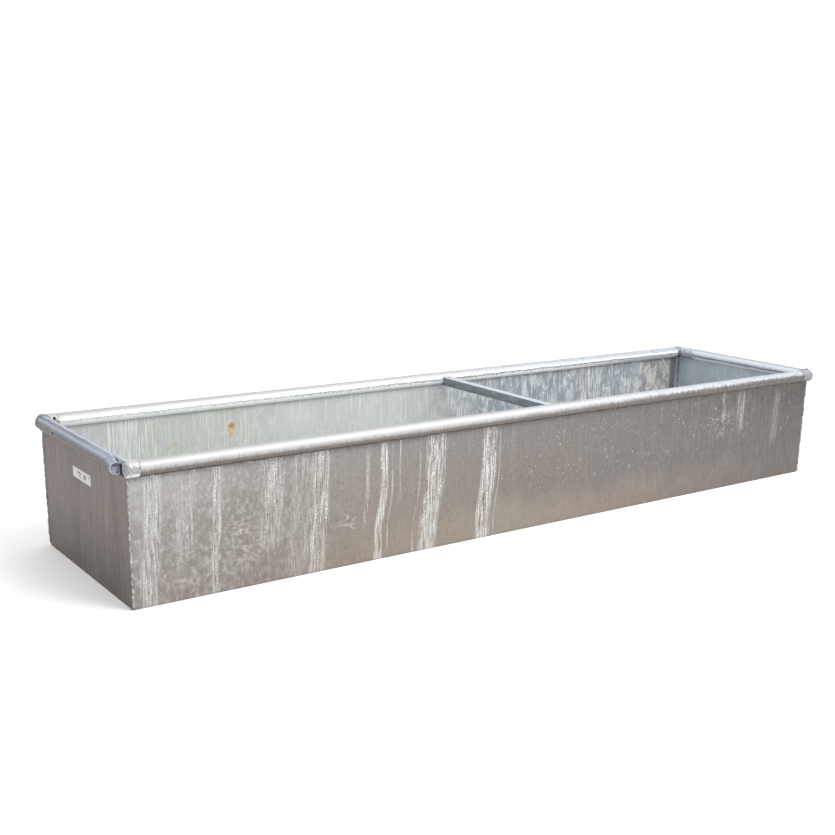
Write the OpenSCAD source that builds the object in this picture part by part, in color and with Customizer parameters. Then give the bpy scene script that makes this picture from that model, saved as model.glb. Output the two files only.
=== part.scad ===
// Galvanised trough feeder: a long open trough of folded sheet steel with a tubular rim,
// closed tube ends and one angle-iron brace across it. Everything is welded together.
// Units are millimetres. +X runs along the trough, +Y to the rear wall and +Z up.
// The origin is the centre of the footprint, on the surface that the trough stands on.
// The rim's corners are alike in pairs: half a turn about +Z maps the trough onto itself,
// apart from the brace, the label and the vent holes.

/* [Trough] */
// Length over the rim tubes
overall_length = 2438; // [1200:1:3050]
// Width over the rim tubes
overall_width = 608; // [400:1:900]
// Height to the top of the rim tubes
overall_height = 354; // [250:1:600]
// Thickness of the sheet
sheet_t = 2; // [1.5:0.1:3]
// Outside radius of the two floor bends
bend_r = 5; // [4:0.5:12]
// How far an end panel leans out between the floor and the rim
end_lean = 7.5; // [0:0.5:40]
// How far a long wall leans out between the floor and the rim
side_lean = 2; // [0:0.5:40]

/* [Rim tubes] */
// Outside diameter of a rim tube
tube_d = 38; // [30:1:50]
// Wall thickness of a rim tube
tube_wall = 2.5; // [2:0.1:4]
// Diameter of a galvanising vent hole in the rim
vent_d = 8; // [4:0.5:12]

/* [Rim caps] */
// Thickness of the pressed caps that slip over the long tubes' ends
cap_t = 1.5; // [1:0.1:3]
// Radius of the pressed edge of a cap
cap_edge_r = 7; // [4:0.5:10]
// Length of the cap where a long tube ends short of the corner
short_cap_len = 30; // [24:1:60]
// Length of the cap where a long tube runs through the corner
long_cap_len = 48; // [46:1:90]
// How far a short cap's face stands outside the end tube's axis
short_cap_reach = 4; // [0:1:10]
// How far a long cap's face stands outside the end tube's axis
long_cap_reach = 10; // [8:1:19]

/* [Swaged tube ends] */
// Distance from the long tube's axis at which an end tube starts to bend outwards
swage_start = 90; // [80:1:140]
// Distance from the long tube's axis to the face of the swaged end
swage_face = 30; // [28:1:40]
// How far the swaged end is bent outwards at its face
swage_kick = 12; // [8:1:14]
// How far the swaged end droops at its face
swage_droop = 2; // [0:0.5:4]
// Outside diameter of the swaged end at its face
swage_d = 31; // [26:1:36]
// Depth of the closing plug below the swaged end's face
plug_depth = 3; // [1:0.5:6]

/* [Brace] */
// Distance of the brace from the middle of the trough
brace_x = 88; // [-300:1:300]
// Leg of the brace's angle iron
brace_leg = 25; // [20:1:40]
// Thickness of the brace's angle iron
brace_t = 3; // [2:0.5:5]
// Height of the brace's flange above the tubes' axes
brace_rise = 4; // [-6:0.5:8]

/* [Welds] */
// Width of the weld beads between tubes and at the brace
tube_bead = 3; // [2:0.5:5]
// Radius of the beads on the outside corners
corner_bead_r = 3.2; // [2.5:0.1:5]
// Width of the beads in the corners inside the trough
inner_bead = 4; // [3:0.5:8]
// Radius of the bead under a rim tube
seam_bead_r = 2.2; // [1.5:0.1:3]

/* [Label] */
// Width of the label on the left end panel
label_w = 120; // [60:1:160]
// Height of the label
label_h = 27; // [20:1:60]
// Thickness of the label
label_t = 0.5; // [0.3:0.1:1]
// Height of the label's centre above the ground
label_z = 254; // [150:1:270]
// Distance of the label's centre from the middle of the end panel
label_y = 5; // [-100:1:100]

/* [Hidden] */
$fn = 96;
tube_r = tube_d / 2;
rim_x = overall_length / 2 - tube_r;
rim_y = overall_width / 2 - tube_r;
rim_z = overall_height - tube_r;
half_t = sheet_t / 2;
cap_r = tube_r + cap_t;
vent_r = vent_d / 2;
reach = 2 * overall_length;
panel_pad = 10;

// Lean of the long walls as a slope
wall_slope = side_lean / rim_z;
wall_slope_len = sqrt(1 + wall_slope * wall_slope);

// Swaged end: its own axis leaves the end tube's axis where the bend starts
swage_run = swage_start - swage_face;
swage_len = norm([swage_kick, swage_run, swage_droop]);
swage_yaw = atan2(swage_kick, swage_run);
swage_pitch = asin(swage_droop / swage_len);
swage_r = swage_d / 2;
swage_lap = 12;
swage_neck = 8;
swage_taper = 34;
swage_edge = 2;
plug_t = 2;

// Vent holes, as distances along the tubes and angles below the level
vent_far_y = 149;
vent_far_angle = 6;
vent_near_step = 32;
vent_near_angle = 24;
vent_cap_x = 27;
vent_cap_angle = 30;
panel_vent_y = 257;
panel_vent_z = 304;
panel_vent_r = 3;

// The web that fills the inner side of a swaged corner
web_start = 16;
web_side = 3;

galvanised = "#b3b5b6";
galvanised_dark = "#97958f";
weld_grey = "#8c8e92";
label_white = "#dedddb";

// ---- Shared geometry ----

// Half length of the trough at height z, to the middle of an end panel
function end_x(z) = rim_x - end_lean * (rim_z - z) / rim_z;

// Half width of the trough at height z, to the middle of a long wall
function wall_y(z) = rim_y - side_lean * (rim_z - z) / rim_z;

// A round bar along X from x0 to x1
module bar_x(r, x0, x1, y, z) {
    translate([x0, y, z])
        rotate([0, 90, 0])
            cylinder(r = r, h = x1 - x0);
}

// A round bar along Y from y0 to y1
module bar_y(r, y0, y1, x, z) {
    translate([x, y0, z])
        rotate([-90, 0, 0])
            cylinder(r = r, h = y1 - y0);
}

// A round bar between two points
module bar_between(p, q, r) {
    d = q - p;
    translate(p)
        rotate([0, acos(d[2] / norm(d)), atan2(d[1], d[0])])
            cylinder(r = r, h = norm(d));
}

// Puts a child at a corner's own side: half a turn about +Z for the rear and right pair
module half_turn(turned) {
    rotate([0, 0, turned ? 180 : 0])
        children();
}

// Cross-section of the trough, in Y and Z, with its walls moved outwards by grow
module section(grow, base, r) {
    c = wall_y(base + r) + grow - r * wall_slope_len;
    touch = [c + r / wall_slope_len, base + r - r * wall_slope / wall_slope_len];
    half = [[c, base], touch, [wall_y(rim_z) + grow, rim_z]];
    polygon(concat(half, [for (i = [2:-1:0]) [-half[i][0], half[i][1]]]));
    for (side = [-1, 1])
        translate([side * c, base + r])
            circle(r = r);
}

// A section swept along the trough
module along_trough() {
    rotate([90, 0, 90])
        linear_extrude(height = overall_length, center = true)
            children();
}

// The room between two planes that follow the end panels, moved in from their middles
module between_ends(inset) {
    low = end_x(-panel_pad) - inset;
    high = end_x(rim_z + panel_pad) - inset;
    rotate([90, 0, 0])
        linear_extrude(height = overall_width, center = true)
            polygon([
                [-low, -panel_pad], [low, -panel_pad],
                [high, rim_z + panel_pad], [-high, rim_z + panel_pad]]);
}

// The trough as a solid block, to the outside of the folded sheet
module sheet_block() {
    intersection() {
        along_trough()
            section(half_t, 0, bend_r);
        between_ends(half_t);
    }
}

// The trough as a solid block, to the outside of the end panels
module panel_block() {
    intersection() {
        along_trough()
            section(0, 0, bend_r - half_t);
        between_ends(-half_t);
    }
}

// One end panel's thickness over the whole width: side is -1 on the left, 1 on the right
module end_slab(side) {
    low = end_x(-panel_pad);
    high = end_x(rim_z + panel_pad);
    rotate([90, 0, 0])
        linear_extrude(height = overall_width, center = true)
            polygon([
                [side * (low - half_t), -panel_pad], [side * (low + half_t), -panel_pad],
                [side * (high + half_t), rim_z + panel_pad],
                [side * (high - half_t), rim_z + panel_pad]]);
}

// The trough's inside, up to the tubes' axes
module inside(inset = 0) {
    intersection() {
        along_trough()
            section(-half_t - inset, sheet_t + inset, bend_r - sheet_t);
        between_ends(half_t);
    }
}

// Outer form of the front tube with its two caps, as a solid bar
module front_bar(grow = 0) {
    left = -rim_x - short_cap_reach;
    right = rim_x + long_cap_reach;
    bar_x(tube_r + grow, left + cap_edge_r, right - cap_edge_r, -rim_y, rim_z);
    bar_x(cap_r + grow, left, left + short_cap_len, -rim_y, rim_z);
    bar_x(cap_r + grow, right - long_cap_len, right, -rim_y, rim_z);
}

// The rear left cap's round, run on past its face, to cope the left tube against
module cope_bar() {
    bar_x(cap_r, -rim_x - 2 * tube_d, -rim_x + 2 * tube_d, rim_y, rim_z);
}

// Outer form of the left tube as a straight bar from rim axis to rim axis
module left_bar(grow = 0) {
    bar_y(tube_r + grow, -rim_y, rim_y, -rim_x, rim_z);
}

// All four tubes as solid bars, to shape what is welded under them
module rim_bars() {
    for (turned = [false, true])
        half_turn(turned) {
            front_bar();
            left_bar();
        }
}

// Frame of the left tube's swaged end: +Z runs along its own axis towards its face
module swage_frame() {
    translate([-rim_x, -rim_y + swage_start, rim_z])
        rotate([90 + swage_pitch, 0, -swage_yaw])
            children();
}

// Outer form of the swaged end
module swage_form() {
    intersection() {
        swage_frame()
            rotate_extrude()
                polygon([
                    [0, -swage_lap], [tube_r, -swage_lap], [tube_r, swage_neck],
                    [swage_r, swage_neck + swage_taper], [swage_r, swage_len - swage_edge],
                    [swage_r - swage_edge, swage_len], [0, swage_len]]);
        translate([-reach / 2, -reach - rim_y + swage_start, -reach / 2])
            cube(reach);
    }
}

// ---- Trough ----

// Floor and two long walls, folded from one sheet
module sheet_form() {
    difference() {
        intersection() {
            along_trough()
                difference() {
                    section(half_t, 0, bend_r);
                    section(-half_t, sheet_t, bend_r - sheet_t);
                }
            between_ends(half_t);
        }
        rim_bars();
    }
}

module trough_body() {
    color(galvanised)
        sheet_form();
}

// One end panel: side is -1 on the left, 1 on the right
module panel_form(side) {
    difference() {
        intersection() {
            along_trough()
                section(0, 0, bend_r - half_t);
            end_slab(side);
        }
        rim_bars();
    }
}

module left_end_panel() {
    color(galvanised_dark)
        difference() {
            panel_form(-1);
            bar_x(panel_vent_r, -rim_x - panel_pad, -rim_x + panel_pad, panel_vent_y, panel_vent_z);
        }
}

module right_end_panel() {
    color(galvanised_dark)
        panel_form(1);
}

// ---- Rim ----

// A long tube: it stops short of both caps' pressed edges
module long_tube() {
    left = -rim_x - short_cap_reach + cap_edge_r + cap_t;
    right = rim_x + long_cap_reach - cap_edge_r - cap_t;
    color(galvanised)
        difference() {
            bar_x(tube_r, left, right, -rim_y, rim_z);
            bar_x(tube_r - tube_wall, left - 1, right + 1, -rim_y, rim_z);
            cap_vent();
        }
}

module front_rim_tube() {
    long_tube();
}

module rear_rim_tube() {
    half_turn(true)
        long_tube();
}

// An end tube: coped against the long tube at one end and cut square at its swaged end
module end_tube() {
    start = -rim_y + swage_start;
    difference() {
        bar_y(tube_r, start, rim_y, -rim_x, rim_z);
        bar_y(tube_r - tube_wall, start - 1, rim_y + 1, -rim_x, rim_z);
        cope_bar();
    }
}

module left_rim_tube() {
    color(galvanised)
        difference() {
            end_tube();
            translate([-rim_x, vent_far_y, rim_z])
                rotate([0, -90 - vent_far_angle, 0])
                    cylinder(r = vent_r, h = cap_r);
        }
}

module right_rim_tube() {
    color(galvanised)
        half_turn(true)
            end_tube();
}

// A pressed cap with a flat face at its origin, open towards +X
module cap(len) {
    inner_edge_r = cap_edge_r - cap_t;
    rotate([0, 90, 0])
        rotate_extrude()
            difference() {
                union() {
                    translate([0, cap_edge_r])
                        square([cap_r, len - cap_edge_r]);
                    square([cap_r - cap_edge_r, len]);
                    translate([cap_r - cap_edge_r, cap_edge_r])
                        intersection() {
                            circle(r = cap_edge_r);
                            translate([0, -cap_edge_r])
                                square(cap_edge_r);
                        }
                }
                translate([0, cap_edge_r])
                    square([tube_r, len]);
                translate([0, cap_t])
                    square([tube_r - inner_edge_r, len]);
                translate([tube_r - inner_edge_r, cap_edge_r])
                    intersection() {
                        circle(r = inner_edge_r);
                        translate([0, -inner_edge_r])
                            square(inner_edge_r);
                    }
            }
}

// Vent hole through the cap and the long tube beside the coped joint, at the front right
module cap_vent() {
    translate([rim_x - vent_cap_x, -rim_y, rim_z])
        rotate([-90 + vent_cap_angle, 0, 0])
            cylinder(r = vent_r, h = 2 * tube_r);
}

module short_cap() {
    color(galvanised)
        translate([-rim_x - short_cap_reach, -rim_y, rim_z])
            cap(short_cap_len);
}

module long_cap() {
    color(galvanised)
        difference() {
            translate([rim_x + long_cap_reach, -rim_y, rim_z])
                mirror([1, 0, 0])
                    cap(long_cap_len);
            cap_vent();
        }
}

module front_rim_left_cap() {
    short_cap();
}

module rear_rim_right_cap() {
    half_turn(true)
        short_cap();
}

module front_rim_right_cap() {
    long_cap();
}

module rear_rim_left_cap() {
    half_turn(true)
        long_cap();
}

// Swaged end of an end tube: bent outwards past the long tube and drawn down
module swaged_end() {
    bore = swage_r - tube_wall;
    color(galvanised)
        difference() {
            swage_form();
            swage_frame()
                rotate_extrude()
                    polygon([
                        [0, -swage_lap - 1], [tube_r - tube_wall, -swage_lap - 1],
                        [tube_r - tube_wall, swage_neck], [bore, swage_neck + swage_taper],
                        [bore, swage_len + 1], [0, swage_len + 1]]);
            swage_frame()
                translate([0, 0, vent_near_step])
                    rotate([0, -90, vent_near_angle])
                        cylinder(r = vent_r, h = cap_r);
        }
}

module left_rim_swaged_end() {
    swaged_end();
}

module right_rim_swaged_end() {
    half_turn(true)
        swaged_end();
}

// Plug that closes a swaged end, set in below its face
module end_plug() {
    color(weld_grey)
        swage_frame()
            translate([0, 0, swage_len - plug_depth - plug_t])
                cylinder(r = swage_r - tube_wall, h = plug_t);
}

module left_rim_end_plug() {
    end_plug();
}

module right_rim_end_plug() {
    half_turn(true)
        end_plug();
}

// ---- Brace ----

// Angle iron with its flange on top, grown all round for the welds
module brace_form(grow) {
    top = rim_z + brace_rise;
    leg = brace_leg + 2 * grow;
    span = 2 * rim_y;
    translate([brace_x - grow, -span / 2, top - brace_leg - grow])
        cube([brace_t + 2 * grow, span, leg]);
    translate([brace_x - grow, -span / 2, top - brace_t - grow])
        cube([leg, span, brace_t + 2 * grow]);
}

// Both long tubes over the brace's length, grown for the welds
module long_bars(grow) {
    for (y = [-rim_y, rim_y])
        bar_x(tube_r + grow, brace_x - 2 * brace_leg, brace_x + 3 * brace_leg, y, rim_z);
}

module cross_brace() {
    color(galvanised_dark)
        difference() {
            brace_form(0);
            long_bars(0);
        }
}

// Bead around the brace's end: side is -1 at the front, 1 at the rear
module brace_weld(side) {
    color(weld_grey)
        difference() {
            intersection() {
                brace_form(tube_bead);
                long_bars(tube_bead);
                translate([0, side * rim_y - side * tube_d, rim_z])
                    cube([reach, 2 * tube_d, reach], center = true);
            }
            brace_form(0);
            long_bars(0);
            sheet_form();
        }
}

module brace_front_weld() {
    brace_weld(-1);
}

module brace_rear_weld() {
    brace_weld(1);
}

// ---- Welds of the trough ----

// Bead on one outside corner: end is -1 on the left, side is -1 at the front
module corner_weld(end, side) {
    offset = half_t / 2;
    low = sheet_t;
    high = rim_z - cap_r - tube_bead;
    color(weld_grey)
        difference() {
            bar_between(
                [end * (end_x(low) + offset), side * (wall_y(low) + offset), low],
                [end * (end_x(high) + offset), side * (wall_y(high) + offset), high],
                corner_bead_r);
            sheet_block();
            panel_block();
        }
}

module front_left_corner_weld() {
    corner_weld(-1, -1);
}

module front_right_corner_weld() {
    corner_weld(1, -1);
}

module rear_left_corner_weld() {
    corner_weld(-1, 1);
}

module rear_right_corner_weld() {
    corner_weld(1, 1);
}

// Bead inside the trough, down one corner, along the floor and up the other
module inner_weld(end) {
    color(weld_grey)
        difference() {
            inside();
            inside(inner_bead);
            between_ends(half_t + inner_bead);
            translate([-end * reach / 2, 0, 0])
                cube(reach, center = true);
            translate([-reach / 2, -reach / 2, rim_z - cap_r - tube_bead])
                cube(reach);
        }
}

module left_inner_weld() {
    inner_weld(-1);
}

module right_inner_weld() {
    inner_weld(1);
}

// ---- Welds of the rim ----

// Web of weld metal on the inner side of a swaged corner, between the end tube and the cap
module rim_web() {
    color(weld_grey)
        difference() {
            bar_y(tube_r, -rim_y, -rim_y + swage_start - web_start, -rim_x, rim_z);
            translate([-reach - rim_x - web_side, -reach / 2, -reach / 2])
                cube(reach);
            front_bar();
            swage_form();
        }
}

module front_left_rim_web() {
    rim_web();
}

module rear_right_rim_web() {
    half_turn(true)
        rim_web();
}

// Weld at the coped joint of an end tube, at the rear left: a bead around it, and a fill
// that closes what the cap leaves open of the tube's end
module coped_weld() {
    color(weld_grey) {
        difference() {
            intersection() {
                left_bar(tube_bead);
                half_turn(true)
                    front_bar(tube_bead);
            }
            left_bar();
            half_turn(true)
                front_bar();
            sheet_form();
            panel_form(-1);
        }
        intersection() {
            left_bar();
            cope_bar();
            translate([-reach - rim_x - long_cap_reach, -reach / 2, -reach / 2])
                cube(reach);
        }
    }
}

module rear_left_rim_weld() {
    coped_weld();
}

module front_right_rim_weld() {
    half_turn(true)
        coped_weld();
}

// Bead under a long tube, outside the wall and between the caps, at the front
module wall_rim_weld() {
    z = rim_z - tube_r;
    left = -rim_x - short_cap_reach + short_cap_len;
    right = rim_x + long_cap_reach - long_cap_len;
    color(weld_grey)
        difference() {
            bar_x(seam_bead_r, left, right, -wall_y(z) - half_t - seam_bead_r / 2, z);
            sheet_block();
            bar_x(tube_r, left - 1, right + 1, -rim_y, rim_z);
        }
}

module front_wall_rim_weld() {
    wall_rim_weld();
}

module rear_wall_rim_weld() {
    half_turn(true)
        wall_rim_weld();
}

// Bead under an end tube's straight part, outside the panel
module panel_rim_weld() {
    z = rim_z - tube_r;
    front = -rim_y + swage_start;
    rear = rim_y - cap_r - tube_bead;
    color(weld_grey)
        difference() {
            bar_y(seam_bead_r, front, rear, -end_x(z) - half_t - seam_bead_r / 2, z);
            panel_block();
            bar_y(tube_r, front - 1, rear + 1, -rim_x, rim_z);
        }
}

module left_panel_rim_weld() {
    panel_rim_weld();
}

module right_panel_rim_weld() {
    half_turn(true)
        panel_rim_weld();
}

// ---- Label ----

// Thin plate lying on the left end panel's outer face
module end_label() {
    color(label_white)
        translate([-end_x(label_z) - half_t, label_y, label_z])
            rotate([0, -atan2(end_lean, rim_z), 0])
                translate([-label_t, -label_w / 2, -label_h / 2])
                    cube([label_t, label_w, label_h]);
}

trough_body();
left_end_panel();
right_end_panel();
front_rim_tube();
rear_rim_tube();
left_rim_tube();
right_rim_tube();
front_rim_left_cap();
front_rim_right_cap();
rear_rim_left_cap();
rear_rim_right_cap();
left_rim_swaged_end();
right_rim_swaged_end();
left_rim_end_plug();
right_rim_end_plug();
cross_brace();
brace_front_weld();
brace_rear_weld();
front_left_corner_weld();
front_right_corner_weld();
rear_left_corner_weld();
rear_right_corner_weld();
left_inner_weld();
right_inner_weld();
front_left_rim_web();
rear_right_rim_web();
rear_left_rim_weld();
front_right_rim_weld();
front_wall_rim_weld();
rear_wall_rim_weld();
left_panel_rim_weld();
right_panel_rim_weld();
end_label();
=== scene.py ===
import math

import bmesh
import bpy
import numpy as np
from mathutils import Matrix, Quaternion, Vector


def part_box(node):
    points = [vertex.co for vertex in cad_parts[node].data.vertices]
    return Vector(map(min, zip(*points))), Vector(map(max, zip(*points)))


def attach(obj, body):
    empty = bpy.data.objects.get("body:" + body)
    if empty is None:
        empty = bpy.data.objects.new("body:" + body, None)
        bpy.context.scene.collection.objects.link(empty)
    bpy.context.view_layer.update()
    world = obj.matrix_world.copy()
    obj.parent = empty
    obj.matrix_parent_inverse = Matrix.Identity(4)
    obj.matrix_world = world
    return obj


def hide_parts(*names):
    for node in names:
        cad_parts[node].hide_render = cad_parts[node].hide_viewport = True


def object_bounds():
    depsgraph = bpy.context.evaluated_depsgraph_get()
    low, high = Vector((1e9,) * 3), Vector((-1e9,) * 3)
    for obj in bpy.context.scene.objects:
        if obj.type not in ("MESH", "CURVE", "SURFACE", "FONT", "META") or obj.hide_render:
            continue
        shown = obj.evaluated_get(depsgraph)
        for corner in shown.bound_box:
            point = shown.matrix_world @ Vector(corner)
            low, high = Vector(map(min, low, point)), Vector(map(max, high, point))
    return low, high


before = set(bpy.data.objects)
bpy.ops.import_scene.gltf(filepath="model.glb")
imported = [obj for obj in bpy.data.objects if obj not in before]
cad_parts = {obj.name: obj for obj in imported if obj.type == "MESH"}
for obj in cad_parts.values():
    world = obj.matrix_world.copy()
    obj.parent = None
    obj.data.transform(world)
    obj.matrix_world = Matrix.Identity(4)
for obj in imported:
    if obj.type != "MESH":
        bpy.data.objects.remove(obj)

CAD_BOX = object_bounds()
CAD_LO, CAD_HI = (np.array(corner) for corner in CAD_BOX)

# ---- Sizes, in metres ----

SHEET = 0.002
END_LEAN = 0.0075
SIDE_LEAN = 0.002
BEND_R = 0.005
TUBE_WALL = 0.0025
CAP_T = 0.0015
CAP_EDGE_R = 0.007
BRACE_T = 0.003
VENT_R = 0.004
FAR_VENT_Y = 0.149
FAR_VENT_DIP = math.radians(6)
CAP_VENT_IN = 0.027
CAP_VENT_TILT = math.radians(30)
SWAGE_VENT_STEP = 0.032
SWAGE_VENT_TURN = np.array([-0.895, 0.18, -0.407])
PANEL_HOLE_R = 0.003
PANEL_HOLE = (0.257, 0.304)
PANEL_DRILL = 0.01
PLUG_DEPTH = 0.003
PLUG_T = 0.002
PLUG_OVERLAP = 0.0003
LABEL_H = 0.027
LABEL_T = 0.0005
LABEL_CORNER_R = 0.003
BEAD_R = 0.003
SEAM_BEAD_R = 0.0017
WEB_VOXEL = 0.0012
WELD_VOXEL = 0.0007
WELD_SWELL = 0.0003

# Soft dents: how deep and how wide the broad ones and the fine ones are
LONG_TUBE_DENTS = ((0.00022, 0.09), (0.00007, 0.025))
END_TUBE_DENTS = ((0.0003, 0.07), (0.0001, 0.022))
CAP_DENTS = ((0.0006, 0.018), (0.0001, 0.007))
SWAGE_DENTS = ((0.0006, 0.016),)

FRONT_LO, FRONT_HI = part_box("front_rim_tube")
LEFT_LO, LEFT_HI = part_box("left_rim_tube")
TUBE_R = (LEFT_HI.x - LEFT_LO.x) / 2
RIM_X = -(LEFT_LO.x + LEFT_HI.x) / 2
RIM_Z = (LEFT_LO.z + LEFT_HI.z) / 2
SHORT_CAP_LO, SHORT_CAP_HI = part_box("front_rim_left_cap")
RIM_Y = -(SHORT_CAP_LO.y + SHORT_CAP_HI.y) / 2
CAP_R = TUBE_R + CAP_T
SWAGE_START_Y = LEFT_LO.y
LEFT_FACE = Vector((-1.212, -0.255, 0.333))
SWAGE_R = 0.0155
SWAGE_BEVEL = 0.0008
SWAGE_BEND = 0.22
LONG_CAP_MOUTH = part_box("front_rim_right_cap")[0].x
SHORT_CAP_MOUTH = -SHORT_CAP_HI.x

TAU = 2 * math.pi
HALF_TURN = np.diag([-1.0, -1.0, 1.0])


def end_x(z):
    """Half length of the trough at height z, to the middle of an end panel."""
    return RIM_X - END_LEAN * (RIM_Z - z) / RIM_Z


def wall_y(z):
    """Half width of the trough at height z, to the middle of a long wall."""
    return RIM_Y - SIDE_LEAN * (RIM_Z - z) / RIM_Z


# ---- Shape helpers ----


def lumps(points, size, seed, stretch=(1, 1, 1), count=24):
    """A smooth random field of about unit strength at the points, with lumps of that size."""
    rng = np.random.default_rng(seed)
    directions = rng.normal(size=(count, 3))
    directions /= np.linalg.norm(directions, axis=1)[:, None]
    waves = directions * rng.uniform(0.5, 1.5, (count, 1)) * TAU / size / np.array(stretch)
    phases = rng.uniform(0, TAU, count)
    flat = points.reshape(-1, 3)
    field = np.sin(flat @ waves.T + phases).sum(1) * math.sqrt(2 / count)
    return field.reshape(points.shape[:-1])


def smooth_step(value, low, high):
    t = np.clip((value - low) / (high - low), 0, 1)
    return t * t * (3 - 2 * t)


def unit(vectors):
    return vectors / np.linalg.norm(vectors, axis=-1, keepdims=True)


def grid_faces(rows, cols, wrap_rows, wrap_cols, flip):
    """Quads over a grid of points, joined end to end where it wraps."""
    i = np.arange(rows if wrap_rows else rows - 1)[:, None]
    j = np.arange(cols if wrap_cols else cols - 1)[None, :]
    a = i * cols + j
    b = i * cols + (j + 1) % cols
    c = (i + 1) % rows * cols + (j + 1) % cols
    d = (i + 1) % rows * cols + j
    quads = np.stack([a, d, c, b] if flip else [a, b, c, d], axis=-1)
    return quads.reshape(-1, 4)


def edge_faces(rim, count):
    """Quads between two skins of count points each, around the rim they share."""
    after = np.roll(rim, -1)
    return np.stack([rim, after, after + count, rim + count], axis=1)


def sleeve_faces(rings, sides):
    """Faces of a row of rings: the wall and a lid at each end."""
    total = rings * sides
    lids = [list(range(sides))[::-1], list(range(total - sides, total))]
    return grid_faces(rings, sides, False, True, False).tolist() + lids


def spots(x, y, z):
    """Points from their three parts, each an array or one number."""
    return np.stack(np.broadcast_arrays(x, y, z), -1)


def vectors(items, field):
    """The points or normals of a mesh as an array."""
    values = np.empty(len(items) * 3)
    items.foreach_get(field, values)
    return values.reshape(-1, 3)


def dents(points, seed, rows):
    """How deep soft dents go at the points."""
    return sum(deep * np.abs(lumps(points, wide, seed + k)) for k, (deep, wide) in enumerate(rows))


def new_piece(name, node, points, faces, materials, parts=None):
    """A smooth mesh of points and faces, kept in the CAD model's box, that stands for a CAD node.

    parts gives the number of each face's material, where there is more than one.
    """
    mesh = bpy.data.meshes.new(name)
    faces = faces.tolist() if isinstance(faces, np.ndarray) else faces
    points = np.clip(points.reshape(-1, 3), CAD_LO, CAD_HI)
    mesh.from_pydata(points.tolist(), [], faces)
    for material in materials:
        mesh.materials.append(material)
    if parts is not None:
        mesh.polygons.foreach_set("material_index", parts.astype(np.int32))
    piece = bpy.data.objects.new(name, mesh)
    bpy.context.scene.collection.objects.link(piece)
    tidy_mesh(mesh)
    return stand_for(piece, node)


def rim_piece(name, node, points, half_turn, paint, closed=True):
    """A piece of the rim from rings of points, given the half turn where it is a twin."""
    faces = grid_faces(*points.shape[:2], True, closed, False)
    return new_piece(name, node, turned(points, half_turn), faces, [paint])


def tidy_mesh(mesh, sharp_deg=42):
    """Merges doubled points, turns the normals outwards and shades smooth but for sharp edges."""
    bm = bmesh.new()
    bm.from_mesh(mesh)
    bmesh.ops.remove_doubles(bm, verts=bm.verts, dist=1e-6)
    bmesh.ops.dissolve_degenerate(bm, edges=bm.edges, dist=1e-7)
    bmesh.ops.recalc_face_normals(bm, faces=bm.faces)
    for face in bm.faces:
        face.smooth = True
    bm.to_mesh(mesh)
    bm.free()
    mesh.set_sharp_from_angle(angle=math.radians(sharp_deg))


def stand_for(piece, node):
    """The piece rides on the one body and stands for the CAD node, whose own part is hidden."""
    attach(piece, "root")
    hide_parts(node)
    return piece


def apply_modifiers(piece):
    """Bakes the piece's modifiers into its mesh."""
    graph = bpy.context.evaluated_depsgraph_get()
    shaped = bpy.data.meshes.new_from_object(piece.evaluated_get(graph))
    old = piece.data
    piece.modifiers.clear()
    piece.data = shaped
    bpy.data.meshes.remove(old)
    shaped.name = piece.name


def drill(piece, centre, direction, radius, length, sides=32):
    """Cuts a round hole through the piece, from the centre along the direction."""
    bm = bmesh.new()
    bmesh.ops.create_cone(
        bm, cap_ends=True, segments=sides, radius1=radius, radius2=radius, depth=length
    )
    turn = Vector(direction).to_track_quat("Z", "Y").to_matrix().to_4x4()
    turn.translation = Vector(centre) + Vector(direction).normalized() * length / 2
    bmesh.ops.transform(bm, matrix=turn, verts=bm.verts)
    mesh = bpy.data.meshes.new("drill")
    bm.to_mesh(mesh)
    bm.free()
    cutter = bpy.data.objects.new("drill", mesh)
    bpy.context.scene.collection.objects.link(cutter)
    cut = piece.modifiers.new("hole", "BOOLEAN")
    cut.operation = "DIFFERENCE"
    cut.solver = "EXACT"
    cut.object = cutter
    bpy.context.view_layer.update()
    apply_modifiers(piece)
    bpy.data.objects.remove(cutter)
    bpy.data.meshes.remove(mesh)
    tidy_mesh(piece.data)
    return piece


def turned(points, half_turn):
    return points @ HALF_TURN if half_turn else points


def lathe(profile, path, radius_axes, sides):
    """Points of a profile of (step along the path, radius) turned about a path.

    path(s) gives the axis point at each step, radius_axes(s) two directions square to it.
    """
    steps, radii = profile[:, 0], profile[:, 1]
    angles = np.arange(sides) * TAU / sides
    centre = path(steps)
    u, v = radius_axes(steps)
    circle = np.cos(angles)[:, None, None] * u + np.sin(angles)[:, None, None] * v
    return centre[None] + circle * radii[None, :, None]


def straight(start, direction):
    """A straight path from a point, and its two fixed directions."""
    start, direction = np.array(start, float), np.array(direction, float)
    u = np.array([0.0, 0.0, 1.0])
    v = np.cross(direction, u)

    def path(s):
        return start + s[:, None] * direction

    def axes(s):
        return np.broadcast_to(u, (len(s), 3)), np.broadcast_to(v, (len(s), 3))

    return path, axes


# ---- Materials ----


def srgb(red, green, blue):
    """Scene-linear colour of a colour given as 0 to 255 on a screen."""
    levels = [c / 255 for c in (red, green, blue)]
    linear = [c / 12.92 if c <= 0.04045 else ((c + 0.055) / 1.055) ** 2.4 for c in levels]
    return (*linear, 1.0)


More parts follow.
